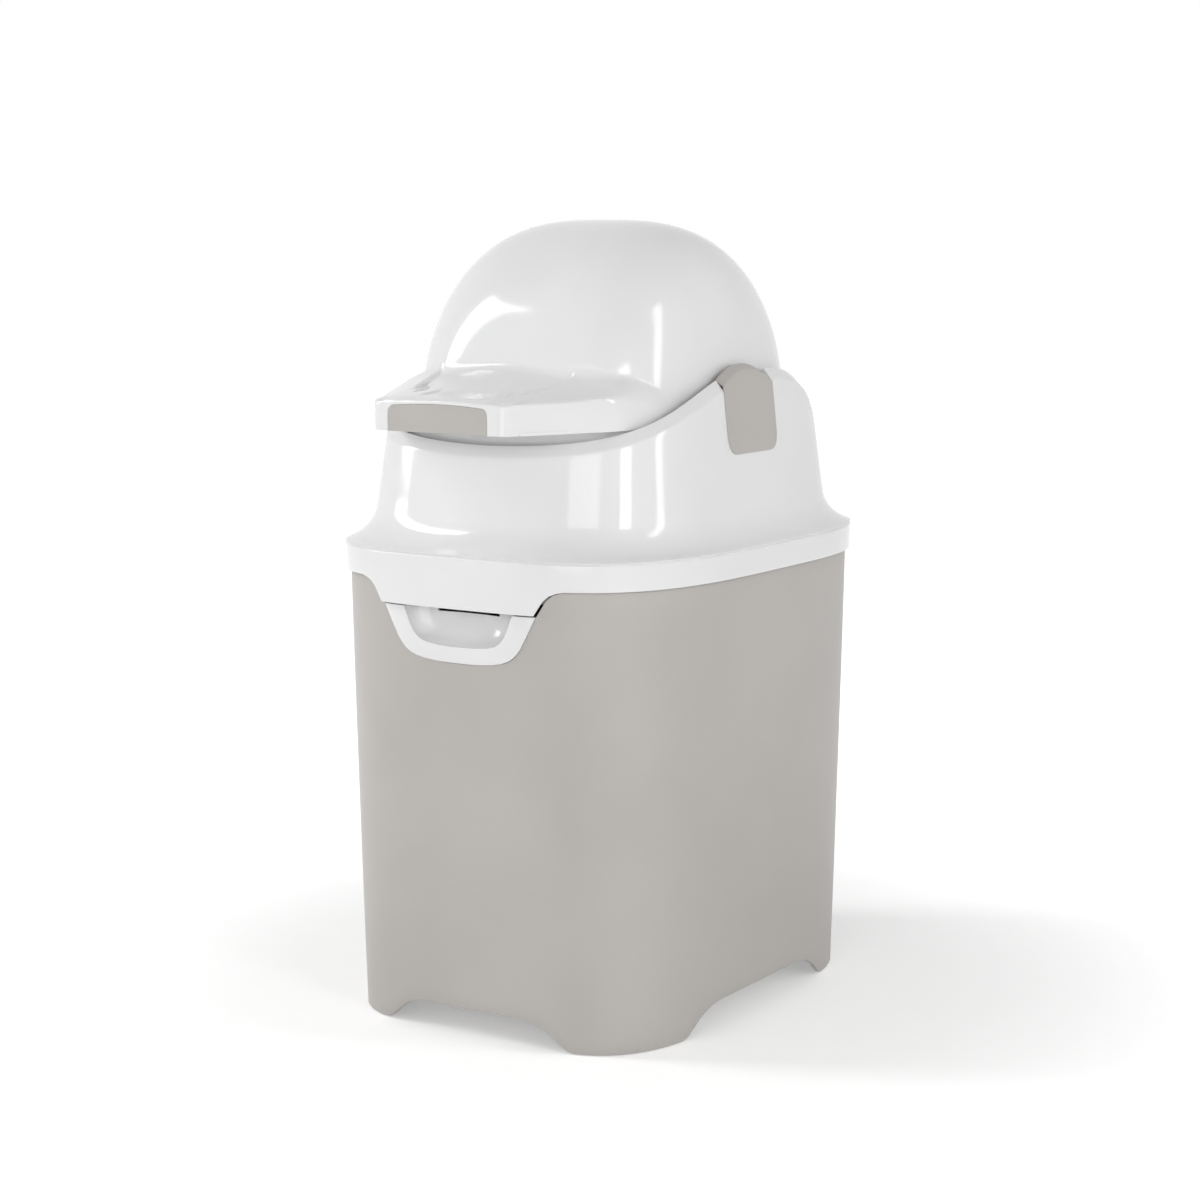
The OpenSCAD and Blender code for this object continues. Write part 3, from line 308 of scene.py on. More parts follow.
rings = [bin_ring(WALL, FLOOR_UNDER), bin_ring(WALL, FLOOR_UNDER - 1)]
rings += [edge_ring(WALL, 1.2), edge_ring(WALL - 0.4, 0.3), edge_ring(WALL / 2, 0.0), edge_ring(0.4, 0.3)]
rings += [wall_ring(f) for f in (0, 0.03, 0.08, 0.2, 0.35, 0.5, 0.65, 0.8, 0.9, 0.96, 1)]
rings += [bin_ring(0.4, BIN_H - 0.3), bin_ring(1.2, BIN_H), bin_ring(WALL - 0.6, BIN_H)]
rings += [bin_ring(WALL, z) for z in (BIN_H - 0.6, 320, LEDGE_Z + 3.2)]
rings += [bin_ring(WALL + 4, LEDGE_Z + 3), bin_ring(WALL + 4, LEDGE_Z), bin_ring(WALL, LEDGE_Z - 6)]
rings += [bin_ring(WALL, z) for z in (200, 120, 50, FLOOR_TOP + 10)]
rings += [bin_ring(WALL + 2.5, FLOOR_TOP + 3), bin_ring(WALL + 9, FLOOR_TOP)]
tub = close_ends(ring_body("bin_tub", BIN_ANGLES, rings))
merge_and_face_out(tub)
report(tub)

# %% [markdown]
# ## The notch for the pull cup
# Under the lip of the top unit the front wall is cut away, and a white cup closes the cut. The
# notch is a prism with the outline of the cup, so a boolean cut is the natural tool. The same
# outline, a little smaller, later makes the cup, and its upper part shapes the lip.

# %% Outline of the notch
LIP_LOW = 332.0
CUP_LOW = 290.3
LIP_SIDE = [(350.5, 92.0), (349.2, 86.2), (347.0, 80.8), (343.4, 76.6), (339.8, 74.0), (336.0, 71.6),
            (LIP_LOW, 69.0)]
CUP_SIDE = [(318.0, 61.9), (306.0, 55.2), (302.0, 52.0), (298.6, 48.6), (295.8, 44.2), (293.8, 38.8),
            (292.3, 31.0), (291.2, 20.0)]
CUP_BOTTOM = (9.0, CUP_LOW + 0.4)


def notch_outline(grow):
    """Closed outline (x, z) of the notch, right half and then left half."""
    right = [(96.0 + grow, 362.0)] + [(x + grow, z) for z, x in LIP_SIDE]
    right += [(x + grow * 0.9, z - grow * 0.4) for z, x in CUP_SIDE] + [(CUP_BOTTOM[0], CUP_BOTTOM[1] - grow)]
    return right + [(-x, z) for x, z in reversed(right)]


def prism(name, outline, y0, y1):
    """A solid from a front outline (x, z), extruded from y0 back to y1, all in mm."""
    bpy.ops.object.select_all(action="DESELECT")
    bpy.ops.mesh.primitive_circle_add(vertices=len(outline), radius=1.0, fill_type="NGON")
    obj = bpy.context.active_object
    obj.name = obj.data.name = name
    for v, (x, z) in zip(obj.data.vertices, outline):
        v.co = Vector((x, y0, z)) * MM
    edit(obj, "FACE")
    bpy.ops.mesh.select_all(action="SELECT")
    bpy.ops.mesh.extrude_region_move(TRANSFORM_OT_translate={"value": (0, (y1 - y0) * MM, 0)})
    done()
    return merge_and_face_out(obj)


def cut(obj, tool, operation="DIFFERENCE"):
    """Boolean of obj with tool; the tool is removed afterwards."""
    boolean = obj.modifiers.new("cut", "BOOLEAN")
    boolean.operation = operation
    boolean.solver = "EXACT"
    boolean.object = tool
    apply_all(obj)
    bpy.data.objects.remove(tool, do_unlink=True)
    return obj


cut(tub, prism("notch_tool", notch_outline(0.35), -240, -100))
smooth(tub, 32)
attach(tub, "bin")
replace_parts(tub, "bin_shell")
report(tub)

# %% [markdown]
# ## Rim, lip and housing
# The top unit's shell is one glossy white moulding: an upright rim band, a hollow flare, then a
# wall that leans inwards up to a saddle-shaped edge with a wide chamfer. The front of the rim
# hangs down in a lip. All of it is one skin: the rings run up the outside, over the edge and
# down the inside, and each column ends at the height that the edge has there.

# %% The housing's sizes
RIM_LOW, RIM_TOP = 350.3, 370.3
RIM_W, RIM_D, RIM_N = 158.6, 208.1, 3.45
FLARE_R, FLARE_IN = 30.0, 18.6
LEAN = math.radians(6.45)
FLARE_Z = RIM_TOP - 0.3 + FLARE_R
FLARE_END = FLARE_Z - FLARE_R * math.sin(LEAN)
CHAMFER, CHAMFER_H = 7.0, 8.3
FRONT_EDGE, HUMP, REAR_EDGE = 450.4, 502.0, 431.0


def step_in(z):
    """How far the wall has stepped in from the rim's side at the height z."""
    if z <= RIM_TOP:
        return 0.0
    if z < FLARE_END:
        across = math.sqrt(FLARE_R ** 2 - (FLARE_Z - z) ** 2)
        return max(0.0, FLARE_IN - FLARE_R * math.cos(LEAN) + across)
    return FLARE_IN + (z - FLARE_END) * math.tan(LEAN)


def housing_oval(t, z, inset):
    s = step_in(z)
    return oval_point(RIM_W - s - inset, RIM_D - 1.5 * s - inset, mix(RIM_N, 3.7, clamp(s / 25)), t)


def top_edge(t):
    """Height of the inner top edge at the oval's angle t: low in front and behind, a hump at each pivot."""
    turn = math.degrees(t) % 360
    if turn > 180:
        s = abs(turn - 270) / 90
        return mix(FRONT_EDGE, HUMP, 0.37 * s + 0.63 * s ** 3.85)
    s = min(min(turn, 180 - turn) / 52, 1.0)
    return mix(REAR_EDGE, HUMP, math.cos(math.radians(90) * s ** 1.2))


def lip_low(x, y):
    """Height of the shell's bottom edge: the rim's, or the lip's in front."""
    if y > 0 or abs(x) >= LIP_SIDE[0][1]:
        return RIM_LOW
    side = [(LIP_SIDE[-1][1] - 0.4, LIP_LOW)] + [(width, z) for z, width in reversed(LIP_SIDE)]
    return min(through(side, abs(x)), RIM_LOW)


def lip_weight(x, y):
    return 4.0 if y < 0 and 62 < abs(x) < 94 else 1.0


TOP_ANGLES = even_angles(RIM_W, RIM_D, RIM_N, 400, lip_weight)

# %% [markdown]
# The rings go once round the wall's section and meet again, so the shell is closed by itself
# and needs no thickness afterwards. At the lip they stand further apart, so that the lip fills
# the notch in the bin's wall.

# %% Skin of the rim and housing
LIP_FILL = 3.6


def lip_fill(z):
    """Extra thickness of the lip, which fills the notch down to the depth of the bin's wall."""
    return LIP_FILL * clamp((RIM_LOW - z) / 0.3)


def low_ring(inset, rise, fill=0.0):
    def rule(t):
        low = lip_low(*oval_point(RIM_W, RIM_D, RIM_N, t))
        deep = inset + fill * lip_fill(low)
        return (*oval_point(RIM_W - deep, RIM_D - deep, RIM_N, t), low + rise)
    return rule


def band_ring(inset, f, fill=0.0):
    """Ring of the rim band at the share f between its bottom edge and its top."""
    def rule(t):
        low = lip_low(*oval_point(RIM_W, RIM_D, RIM_N, t))
        deep = inset + fill * lip_fill(low)
        return (*oval_point(RIM_W - deep, RIM_D - deep, RIM_N, t), mix(low + 0.6, RIM_TOP - 1.2, f))
    return rule


def shell_ring(inset, z):
    return lambda t: (*housing_oval(t, z, inset), z)


def edge_height(t):
    return top_edge(t) - CHAMFER_H


def upper_ring(f, inset, lift=0.0):
    """Ring of the wall at the share f between z = 408 and the outer top edge."""
    def rule(t):
        z = mix(408.0, edge_height(t), f)
        return (*housing_oval(t, z, inset), z + lift)
    return rule


flare = [(RIM_TOP - 0.75, 0.05), (RIM_TOP - 0.35, 0.35), (RIM_TOP, 1.0)]
flare_heights = [FLARE_Z - FLARE_R * math.cos(math.radians(a)) for a in range(20, 85, 5)]
rings = [low_ring(3.0, 0.4, 1.0), low_ring(2.6, 0.0, 1.0), low_ring(0.45, 0.0), low_ring(0.1, 0.2)]
rings += [band_ring(0, f) for f in (0, 0.15, 0.4, 0.7, 1)]
rings += [shell_ring(inset, z) for z, inset in flare]
rings += [shell_ring(0, z) for z in flare_heights]
rings += [upper_ring(f, 0) for f in (0, 0.15, 0.3, 0.45, 0.6, 0.75, 0.88, 0.97)]
rings += [upper_ring(1, 0.25, 0.05), upper_ring(1, 0.9, 0.85), upper_ring(1, CHAMFER / 2, CHAMFER_H / 2)]
rings += [upper_ring(1, CHAMFER - 0.8, CHAMFER_H - 0.95), upper_ring(1, CHAMFER - 0.15, CHAMFER_H - 0.35)]
rings += [upper_ring(1, CHAMFER, CHAMFER_H - 1.1), upper_ring(1, CHAMFER, 2.5)]
rings += [upper_ring(f, WALL) for f in (0.85, 0.6, 0.3, 0)]
rings += [shell_ring(WALL, z) for z in reversed(flare_heights[::2])]
rings += [band_ring(WALL, 1), band_ring(WALL, 0.6), band_ring(WALL, 0.3, 1.0)]
shell = ring_body("rim_housing", TOP_ANGLES, rings, closed=True)
report(shell)

# %% [markdown]
# Inside, the rim carries a flat flange that the deck is screwed to, and a short skirt that
# drops into the bin and centres the top unit on it. Both are closed rings of the same squared
# oval with a plain section, joined to the shell by booleans. The skirt has a gap for the latch.


# %% Flange and skirt inside the rim
def rim_ring(inset, z):
    return lambda t: (*oval_point(RIM_W - inset, RIM_D - inset, RIM_N, t), z)


FLANGE_ANGLES = even_angles(RIM_W, RIM_D, RIM_N, 200)
FLANGE_SECTION = [(1.5, 350.8), (18.0, 350.3), (18.0, 353.3), (2.0, 353.3)]
SKIRT_SECTION = [(8.6, 351.0), (8.6, 340.0), (10.6, 340.0), (10.6, 351.0)]
flange = ring_body("flange", FLANGE_ANGLES, [rim_ring(*corner) for corner in FLANGE_SECTION], closed=True)
cut(shell, flange, "UNION")
skirt = ring_body("skirt", FLANGE_ANGLES, [rim_ring(*corner) for corner in SKIRT_SECTION], closed=True)
cut(skirt, prism("latch_gap", [(-40.3, 330), (40.3, 330), (40.3, 350.25), (-40.3, 350.25)], -230, -150))
cut(shell, skirt, "UNION")

# %% [markdown]
# On the back of the lip sits the catch that the latch holds: a foot under the flange, a short
# web and a ledge that the latch's nose slips over. Three cubes joined by booleans are enough,
# because such ribs are flat on the real moulding too.


# %% The catch
def box(name, low, high):
    bpy.ops.object.select_all(action="DESELECT")
    middle = [(a + b) / 2 * MM for a, b in zip(low, high)]
    bpy.ops.mesh.primitive_cube_add(size=1.0, location=middle)
    obj = bpy.context.active_object
    obj.name = obj.data.name = name
    obj.scale = [(b - a) * MM for a, b in zip(low, high)]
    return settle(obj)


CATCH_FRONT, CATCH_LEDGE, CATCH_Z = -206.5, -197.7, 341.0
catch = box("lip_catch", (-40, CATCH_FRONT, 347.1), (40, -189.1, 350.1))
cut(catch, box("web", (-22, CATCH_FRONT, CATCH_Z - 2.4), (22, CATCH_FRONT + 3.7, 348)), "UNION")
cut(catch, box("ledge", (-22, CATCH_FRONT + 0.01, CATCH_Z - 2.4), (22, CATCH_LEDGE, CATCH_Z + 0.5)), "UNION")
soften(catch, 0.4 * MM, 2, 50)
smooth(catch, 40)
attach(catch, "top_unit")
report(catch)

# %% [markdown]
# The pivot covers wrap over the top edge in a notch beside each pivot, and the covers' bosses
# need a round hole. Both are cut with simple tools.

# %% Notches and holes at the pivots
PIVOT_Z = 468.6
CAP_W = 74.0
CAP_SEAT = 487.0
HOLE_R, HOLE_X = 17.3, 131.9

cut(shell, box("notch_tool", (-180, -CAP_W / 2 - 0.2, CAP_SEAT), (180, CAP_W / 2 + 0.2, 530)))
for side in (-1, 1):
    bpy.ops.object.select_all(action="DESELECT")
    bpy.ops.mesh.primitive_cylinder_add(vertices=64, radius=HOLE_R * MM, depth=40 * MM,
        location=(side * HOLE_X * MM, 0, PIVOT_Z * MM), rotation=(0, side * (math.pi / 2 - LEAN), 0))
    tool = bpy.context.active_object
    cut(shell, settle(tool))
smooth(shell, 32)
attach(shell, "top_unit")
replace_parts(shell, "top_housing", "front_lip")
report(shell)

# %% [markdown]
# ## Dome and duck-bill handle
# The cover is one white moulding. The dome is a body of revolution about the pivot axis, with a
# squared profile from side to side, and a flat duck bill grows out of its front. Where they meet
# there is a soft hollow fillet. A boolean would leave a hard line there, and a remesh would blur
# the crisp front edge. So the skin is drawn as slices across the pivot axis. In each slice every
# point lies on a ray from the axis, and the larger of dome radius and bill radius counts,
# blended where they cross.

# %% Sizes of the dome and the bill
DOME_R, DOME_W, DOME_N = 147.4, 115.9, 3.2
SPLIT_Z = 463.2
BILL_Y = 226.0
GRIP_HALF, GRIP_D = 44.5, 10.0
BILL_PLAN = [(46.0, 226.0), (53.0, 225.4), (57.5, 223.8), (60.2, 221.0), (62.2, 217.0), (67.0, 207.0),
             (73.5, 195.0), (88.5, 167.0), (100.4, 143.0), (106.0, 119.0), (110.0, 104.0), (113.0, 80.0),
             (114.6, 55.0), (115.4, 38.5), (115.8, 24.5)]
FLANK_ROUND = [(50, 34.0), (80, 28.0), (100, 21.0), (120, 13.0), (140, 5.0), (158, 0.8), (168, 0.0)]
BILL_EDGE_LINE = [(60, 500.0), (80, 497.0), (104, 494.5), (130, 491.5), (143, 488.5), (167, 486.6),
                  (190, 485.8), (216, 485.6), (226, 484.6)]
FILLET = 8.0
DISH_R, DISH_Y, DISH_DEPTH, DISH_EDGE = 60.5, 144.5, 2.8, 4.2


def dome_radius(x):
    return DOME_R * max(0.0, 1 - (abs(x) / DOME_W) ** DOME_N) ** (1 / DOME_N)


def bill_front(x):
    """Distance of the bill's front or side face from the pivot axis at the station x."""
    return flowing(BILL_PLAN, abs(x))


def bill_half_w(y):
    """Half width of the bill at the distance y in front of the axis."""
    return flowing([(y0, x0) for x0, y0 in reversed(BILL_PLAN)], y)


def bill_top(x, y):
    """Height of the bill's top over the floor, y in front of the axis."""
    share = clamp(abs(x) / bill_half_w(y))
    rise = 2.2 + 0.26 * (216 - min(y, 216))
    edge = flowing(BILL_EDGE_LINE, y)
    crown = rise * (1 - share ** 1.9)
    dish = DISH_DEPTH * ease(0.5 - (math.hypot(x, y - DISH_Y) - DISH_R) / DISH_EDGE)
    radius = flowing(FLANK_ROUND, y)
    near = clamp(1 - (bill_half_w(y) - abs(x)) / max(radius, 0.01))
    flank = radius * (1 - math.sqrt(1 - near * near))
    return max(edge + crown - dish - flank, SPLIT_Z + 0.6)

# %% [markdown]
# A slice runs up the bill's front face, back over its top, through the fillet onto the dome and
# down behind. Behind the grip's recess the face is set back, with a thin white bevel above it.


# %% One slice of the cover
def blend_max(a, b, width):
    """The larger of a and b, with a smooth blend of that width where they cross."""
    gap = clamp(0.5 + (a - b) / (2 * width))
    return mix(b, a, gap) + width * gap * (1 - gap) * 0.5


def bill_radius(x, angle, front):
    """Distance from the axis at which the ray leaves the bill."""
    c, s = math.cos(angle), math.sin(angle)
    low, high = 20.0, front / c if c > 0.05 else 400.0
    if PIVOT_Z + high * s <= bill_top(x, high * c):
        return high
    for _ in range(40):
        r = (low + high) / 2
        if PIVOT_Z + r * s > bill_top(x, r * c):
            high = r
        else:
            low = r
    return low


BEVEL_H, GRIP_CORNER = 2.7, 5.0


def recess_top(x):
    """Top of the grip's recess at the station x, with rounded upper corners."""
    past = max(0.0, abs(x) - GRIP_HALF + GRIP_CORNER)
    return bill_top(x, BILL_Y) - BEVEL_H - GRIP_CORNER + math.sqrt(max(0.0, GRIP_CORNER ** 2 - past ** 2))


EDGE_R = 1.6
BLEND_TURN = 42
FACE_STEPS, TOP_STEPS, DOME_STEPS = 6, 46, 44
SLICE = FACE_STEPS + TOP_STEPS + DOME_STEPS


def slice_points(x, front):
    """Points (y, z) of the cover's skin at the station x, from the front bottom edge to the rear one."""
    edge_z = bill_top(x, front)
    r = dome_radius(x)
    if abs(x) <= GRIP_HALF:
        low = recess_top(x)
        points = [(-BILL_Y + GRIP_D, z) for z in (SPLIT_Z, mix(SPLIT_Z, low, 0.5), low)]
        points += [(-front + 0.3, low), (-front, low + 0.3), (-front, edge_z - EDGE_R)]
    else:
        points = [(-front, mix(SPLIT_Z, edge_z - EDGE_R, k / (FACE_STEPS - 1))) for k in range(FACE_STEPS)]
    points.append((-front + 0.3 * EDGE_R, edge_z - 0.3 * EDGE_R))
    y = front - EDGE_R
    points.append((-y, bill_top(x, y)))
    start_a = math.atan2(points[-1][1] - PIVOT_Z, y)
    blend_a = math.radians(BLEND_TURN)
    for k in range(1, TOP_STEPS - 1):
        a = mix(start_a, blend_a, k / (TOP_STEPS - 2))
        out = blend_max(bill_radius(x, a, front), r, FILLET)
        points.append((-out * math.cos(a), PIVOT_Z + out * math.sin(a)))
    rear_a = math.pi + math.asin(clamp((PIVOT_Z - SPLIT_Z) / r, 0, 1))
    for k in range(1, DOME_STEPS + 1):
        a = mix(blend_a, rear_a, k / DOME_STEPS)
        points.append((-r * math.cos(a), PIVOT_Z + r * math.sin(a)))
    return points

# %% [markdown]
# The slices stand close together where the outline bends, at the grip's ends, the bill's
# corners and the flanks, and further apart elsewhere.

# %% Skin of the cover
half_stations = [0, 3, 6, 9, 12, 15, 18, 21, 24, 27, 30, 33, 36, 38, 39.5, 40.8, 42, 43, 43.8, 44.3]
half_stations += [GRIP_HALF, GRIP_HALF + 0.15, 46, 48, 50.5]
half_stations += [52 + 0.8 * k for k in range(14)]
half_stations += [63.5 + 1.5 * k for k in range(24)]
half_stations += [99.5 + 0.8 * k for k in range(18)]
half_stations += [114.0, 114.5, 115.0, 115.4, 115.6, 115.8]
stations = [-x for x in reversed(half_stations[1:])] + half_stations
slices = [[(x, y, z) for y, z in slice_points(x, bill_front(x))] for x in stations]
cover = shaped_grid("dome_cover", len(stations) - 1, SLICE - 1, lambda i, j: slices[i][j])
merge_and_face_out(cover)
report(cover)

# %% [markdown]
# The skin has no thickness yet. Its normals already face outwards, so the solidify modifier can
# put the moulding's wall behind it and leave the outer shape as it is.

# %% Wall of the cover
COVER_WALL = 2.4
wall = cover.modifiers.new("wall", "SOLIDIFY")
wall.thickness = COVER_WALL * MM
wall.offset = -1.0
wall.use_even_offset = False
apply_all(cover)
smooth(cover, 38)
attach(cover, "drum")
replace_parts(cover, "dome_shell")
report(cover)

# %% [markdown]
# ## Soft grip
# A grey soft grip is moulded into the recess in the bill's front edge. It could be cut from the
# cover's own mesh, but then it would share the cover's hard edge. It starts as a cube instead.
# The cube is subdivided, its top follows the recess with the same rounded corners, and a small
# bevel rolls its edges.

# %% The grip
SEAT = 0.15
GRIP_CUTS = 23
grip = box("soft_grip", (-1, -BILL_Y, 0), (1, -BILL_Y + GRIP_D - 0.1, 1))
edit(grip, "FACE")
bpy.ops.mesh.select_all(action="SELECT")
bpy.ops.mesh.subdivide(number_cuts=GRIP_CUTS)
done()
for v in grip.data.vertices:
    x = (GRIP_HALF - SEAT) * math.sin(math.radians(90) * clamp(v.co.x / MM, -1, 1))
    top = recess_top(x) - SEAT
    v.co.x, v.co.z = x * MM, mix(SPLIT_Z, top, v.co.z / MM) * MM
soften(grip, 0.8 * MM, 4, 60)
smooth(grip, 50)
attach(grip, "drum")
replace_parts(grip, "grip")
report(grip)

# %% [markdown]
# ## Pivot covers
# Each pivot has a grey cover: a thin plate on the leaning wall, rounded at the bottom and
# arched at the top, that wraps inwards over the chamfered edge. A bent box would miss the lean
# of the wall, so it is drawn as a sheet across its width and then given its thickness and soft
# edges. The place where the real one has lettering stays bare.

# %% The covers
ARCH_R = 66.0
CAP_LOW, CAP_TOP = 439.3, 503.3
CAP_PROUD = 1.2
CAP_CORNER = 12.0
CAP_THICK = 1.6
CAP_INNER_X = 121.0
CAP_COLUMNS = 48


def arch_drop(y):
    """How far the arch has fallen at the distance y from its top."""
    return ARCH_R - math.sqrt(ARCH_R ** 2 - y * y)


def wall_x(z):
    return RIM_W - step_in(z) + CAP_PROUD


def cover_path(y):
    """Path (x, z) up the outer face and over the edge at the distance y."""
    near_side = max(0.0, abs(y) - (CAP_W / 2 - CAP_CORNER))
    low = CAP_LOW + CAP_CORNER - math.sqrt(max(0.0, CAP_CORNER ** 2 - near_side ** 2))
    top = CAP_TOP - arch_drop(y)
    heights = [mix(low, top - 1.2, k / 24) for k in range(25)]
    path = [(wall_x(z), z) for z in heights]
    x0 = wall_x(top)
    path += [(x0 - 0.35, top - 0.15), (x0 - 1.1, top + 0.25)]
    path += [(mix(x0 - 1.1, 122.6, k / 6), mix(top + 0.25, top + 3.6, k / 6)) for k in range(1, 7)]
    path += [(121.8, top + 3.4), (121.2, top + 2.6), (CAP_INNER_X, top + 1.4)]
    path += [(CAP_INNER_X, mix(top + 1.4, CAP_SEAT + 0.3, k / 5)) for k in range(1, 6)]
    return path


def pivot_cover(side, name):
    columns = [mix(-CAP_W / 2, CAP_W / 2, i / CAP_COLUMNS) for i in range(CAP_COLUMNS + 1)]
    paths = [cover_path(y) for y in columns]
    cap = shaped_grid(name, CAP_COLUMNS, len(paths[0]) - 1,
        lambda i, j: (side * paths[i][j][0], columns[i], paths[i][j][1]))
    merge_and_face_out(cap)
    thick = cap.modifiers.new("thickness", "SOLIDIFY")
    thick.thickness = CAP_THICK * MM
    thick.offset = -1.0
    apply_all(cap)
    soften(cap, 0.5 * MM, 3, 50)
    smooth(cap, 45)
    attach(cap, "top_unit")
    report(cap)
    return cap


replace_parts(pivot_cover(-1, "pivot_cover_left"), "pivot_cap_left")
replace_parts(pivot_cover(1, "pivot_cover_right"), "pivot_cap_right")

# %% [markdown]
# ## Pull cup
# Under the lip sits a white U-shaped cup with a pocket for the fingers. Its frame lies almost
# flush with the curved front of the bin. A flat plate would stand off that curve, so a band with
# the bin's own curve is cut to the U outline, and the pocket's opening is cut out of it.

# %% Frame of the cup
CUP_TOP = 330.5
CUP_PROUD, CUP_INSET, BAND_LOW = -0.7, 5.1, 285
band = [(CUP_PROUD, BAND_LOW), (CUP_PROUD, CUP_TOP), (CUP_INSET, CUP_TOP), (CUP_INSET, BAND_LOW)]
cup = ring_body("pull_cup_frame", BIN_ANGLES, [bin_ring(*corner) for corner in band], closed=True)
cut(cup, prism("cup_tool", notch_outline(-0.1), -240, -150), "INTERSECT")

POCKET_SIDE = [(CUP_TOP + 0.1, 49.4), (326.0, 47.4), (321.0, 45.4), (316.5, 43.4), (312.5, 41.0),
               (308.8, 37.8), (306.2, 33.6), (304.5, 27.5), (303.4, 17.0), (302.9, 6.0)]
POCKET_U = [(x, z) for z, x in POCKET_SIDE] + [(-x, z) for z, x in reversed(POCKET_SIDE)]
cut(cup, prism("pocket_tool", [(POCKET_U[0][0], 340.0)] + POCKET_U + [(POCKET_U[-1][0], 340.0)], -240, -150))
soften(cup, 0.6 * MM, 3, 40)

# %% [markdown]
# The pocket is a smooth scoop. Rings of its own outline shrink towards the middle of the top edge
# while they go deeper, quickly at first and then hardly at all, so the walls run into the back
# without a corner. In the middle the back ends lower, which leaves the slit over the latch. The
# scoop is joined to the frame as it is, because both already have their thickness.

# %% Scoop of the cup
SCOOP_DEPTH, SCOOP_N = 17.0, 2.3
SLIT_HALF, SLIT_Z = 28.0, 326.4
SCOOP_WALL = 2.0
scoop_shares = [1.0, 0.998, 0.99, 0.975, 0.95, 0.92, 0.88, 0.82, 0.74, 0.64, 0.52, 0.38, 0.2, 0.02]


def scoop_point(i, j):
    share = scoop_shares[j]
    x, z = POCKET_U[i]
    half_w, half_d, n = bin_plan(z, -0.4)
    front = half_d * (1 - (abs(x) / half_w) ** n) ** (1 / n)
    depth = SCOOP_DEPTH * (1 - share ** SCOOP_N) ** (1 / SCOOP_N)
    return (x * share, -front + depth, CUP_TOP - (CUP_TOP - z) * share)


scoop = shaped_grid("scoop", len(POCKET_U) - 1, len(scoop_shares) - 1, scoop_point)
merge_and_face_out(scoop)
middle = max(scoop.data.polygons, key=lambda face: face.center.y)
faces_front = middle.normal.y < 0
scoop_wall = scoop.modifiers.new("wall", "SOLIDIFY")
scoop_wall.thickness = SCOOP_WALL * MM
scoop_wall.offset = -1.0 if faces_front else 1.0
apply_all(scoop)
merge_and_face_out(scoop, 0.001 * MM)
report(scoop)
cut(scoop, box("slit_tool", (-SLIT_HALF, -195, SLIT_Z), (SLIT_HALF, -170, 340)))
only(cup)
scoop.select_set(True)
bpy.ops.object.join()
smooth(cup, 40)
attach(cup, "bin")
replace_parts(cup, "pull_cup")
report(cup)

# %% [markdown]
# ## Finishes
# Two plastics show: a glossy white and a warm grey with a satin skin. Moulded plastic is never
# quite even. The white has a faint orange-peel ripple, the grey a fine spark-eroded grain, and
# both vary a little in shade. All of it comes from noise on Object coordinates, so it stays put
# in every view.


# %% Plastic
def nodes_of(name):
    material = bpy.data.materials.new(name)
    material.use_nodes = True
    tree = material.node_tree
    shader = tree.nodes["Principled BSDF"]
    place = tree.nodes.new("ShaderNodeTexCoord")
    return material, tree, shader, place


def noise(tree, source, scale, detail=3.0):
    texture = tree.nodes.new("ShaderNodeTexNoise")
    texture.inputs["Scale"].default_value = scale
    texture.inputs["Detail"].default_value = detail
    tree.links.new(source, texture.inputs["Vector"])
    return texture


def shade(tree, texture, dark, light, low=0.35, high=0.65):
    ramp = tree.nodes.new("ShaderNodeValToRGB")
    ramp.color_ramp.elements[0].position = low
    ramp.color_ramp.elements[0].color = (*dark, 1)
    ramp.color_ramp.elements[1].position = high
    ramp.color_ramp.elements[1].color = (*light, 1)
    tree.links.new(texture.outputs["Fac"], ramp.inputs["Fac"])
    return ramp


def span(tree, texture, low, high):
    level = tree.nodes.new("ShaderNodeMapRange")
    level.inputs["From Min"].default_value = 0.3
    level.inputs["From Max"].default_value = 0.7
    level.inputs["To Min"].default_value = low
    level.inputs["To Max"].default_value = high
    tree.links.new(texture.outputs["Fac"], level.inputs["Value"])
    return level


def bump(tree, shader, texture, strength, distance):
    node = tree.nodes.new("ShaderNodeBump")
    node.inputs["Strength"].default_value = strength
    node.inputs["Distance"].default_value = distance
    tree.links.new(texture.outputs["Fac"], node.inputs["Height"])
    tree.links.new(node.outputs["Normal"], shader.inputs["Normal"])


def plastic(name, dark, light, rough, grain, depth, specular=0.5):
    """Colour between dark and light, roughness in the range rough, and a grain of that scale and depth."""
    material, tree, shader, place = nodes_of(name)
    wide = noise(tree, place.outputs["Object"], 9.0, 2.0)
    fine = noise(tree, place.outputs["Object"], grain, 4.0)
    tree.links.new(shade(tree, wide, dark, light).outputs["Color"], shader.inputs["Base Color"])
    tree.links.new(span(tree, fine, *rough).outputs["Result"], shader.inputs["Roughness"])
    bump(tree, shader, fine, 0.25, depth)
    shader.inputs["Specular IOR Level"].default_value = specular
    return material


GLOSS_WHITE = plastic("gloss_white_plastic", (0.80, 0.80, 0.802), (0.83, 0.83, 0.831),
                      (0.09, 0.13), 40.0, 0.00001)
SATIN_GREY = plastic("warm_grey_plastic", (0.462, 0.441, 0.419), (0.488, 0.466, 0.443),
                     (0.42, 0.52), 900.0, 0.00006)
SOFT_GREY = plastic("soft_grip_grey", (0.455, 0.436, 0.413), (0.480, 0.460, 0.436),
                    (0.50, 0.60), 1400.0, 0.00008)
INNER_WHITE = plastic("satin_white_plastic", (0.74, 0.74, 0.745), (0.78, 0.78, 0.782),
                      (0.34, 0.44), 500.0, 0.00005)

# %% [markdown]
# Inside there are steel pins, screws and a weight, and rubber seals. Steel gets fine scratches:
# noise stretched along one axis. Rubber is dark, dull and slightly dusty.


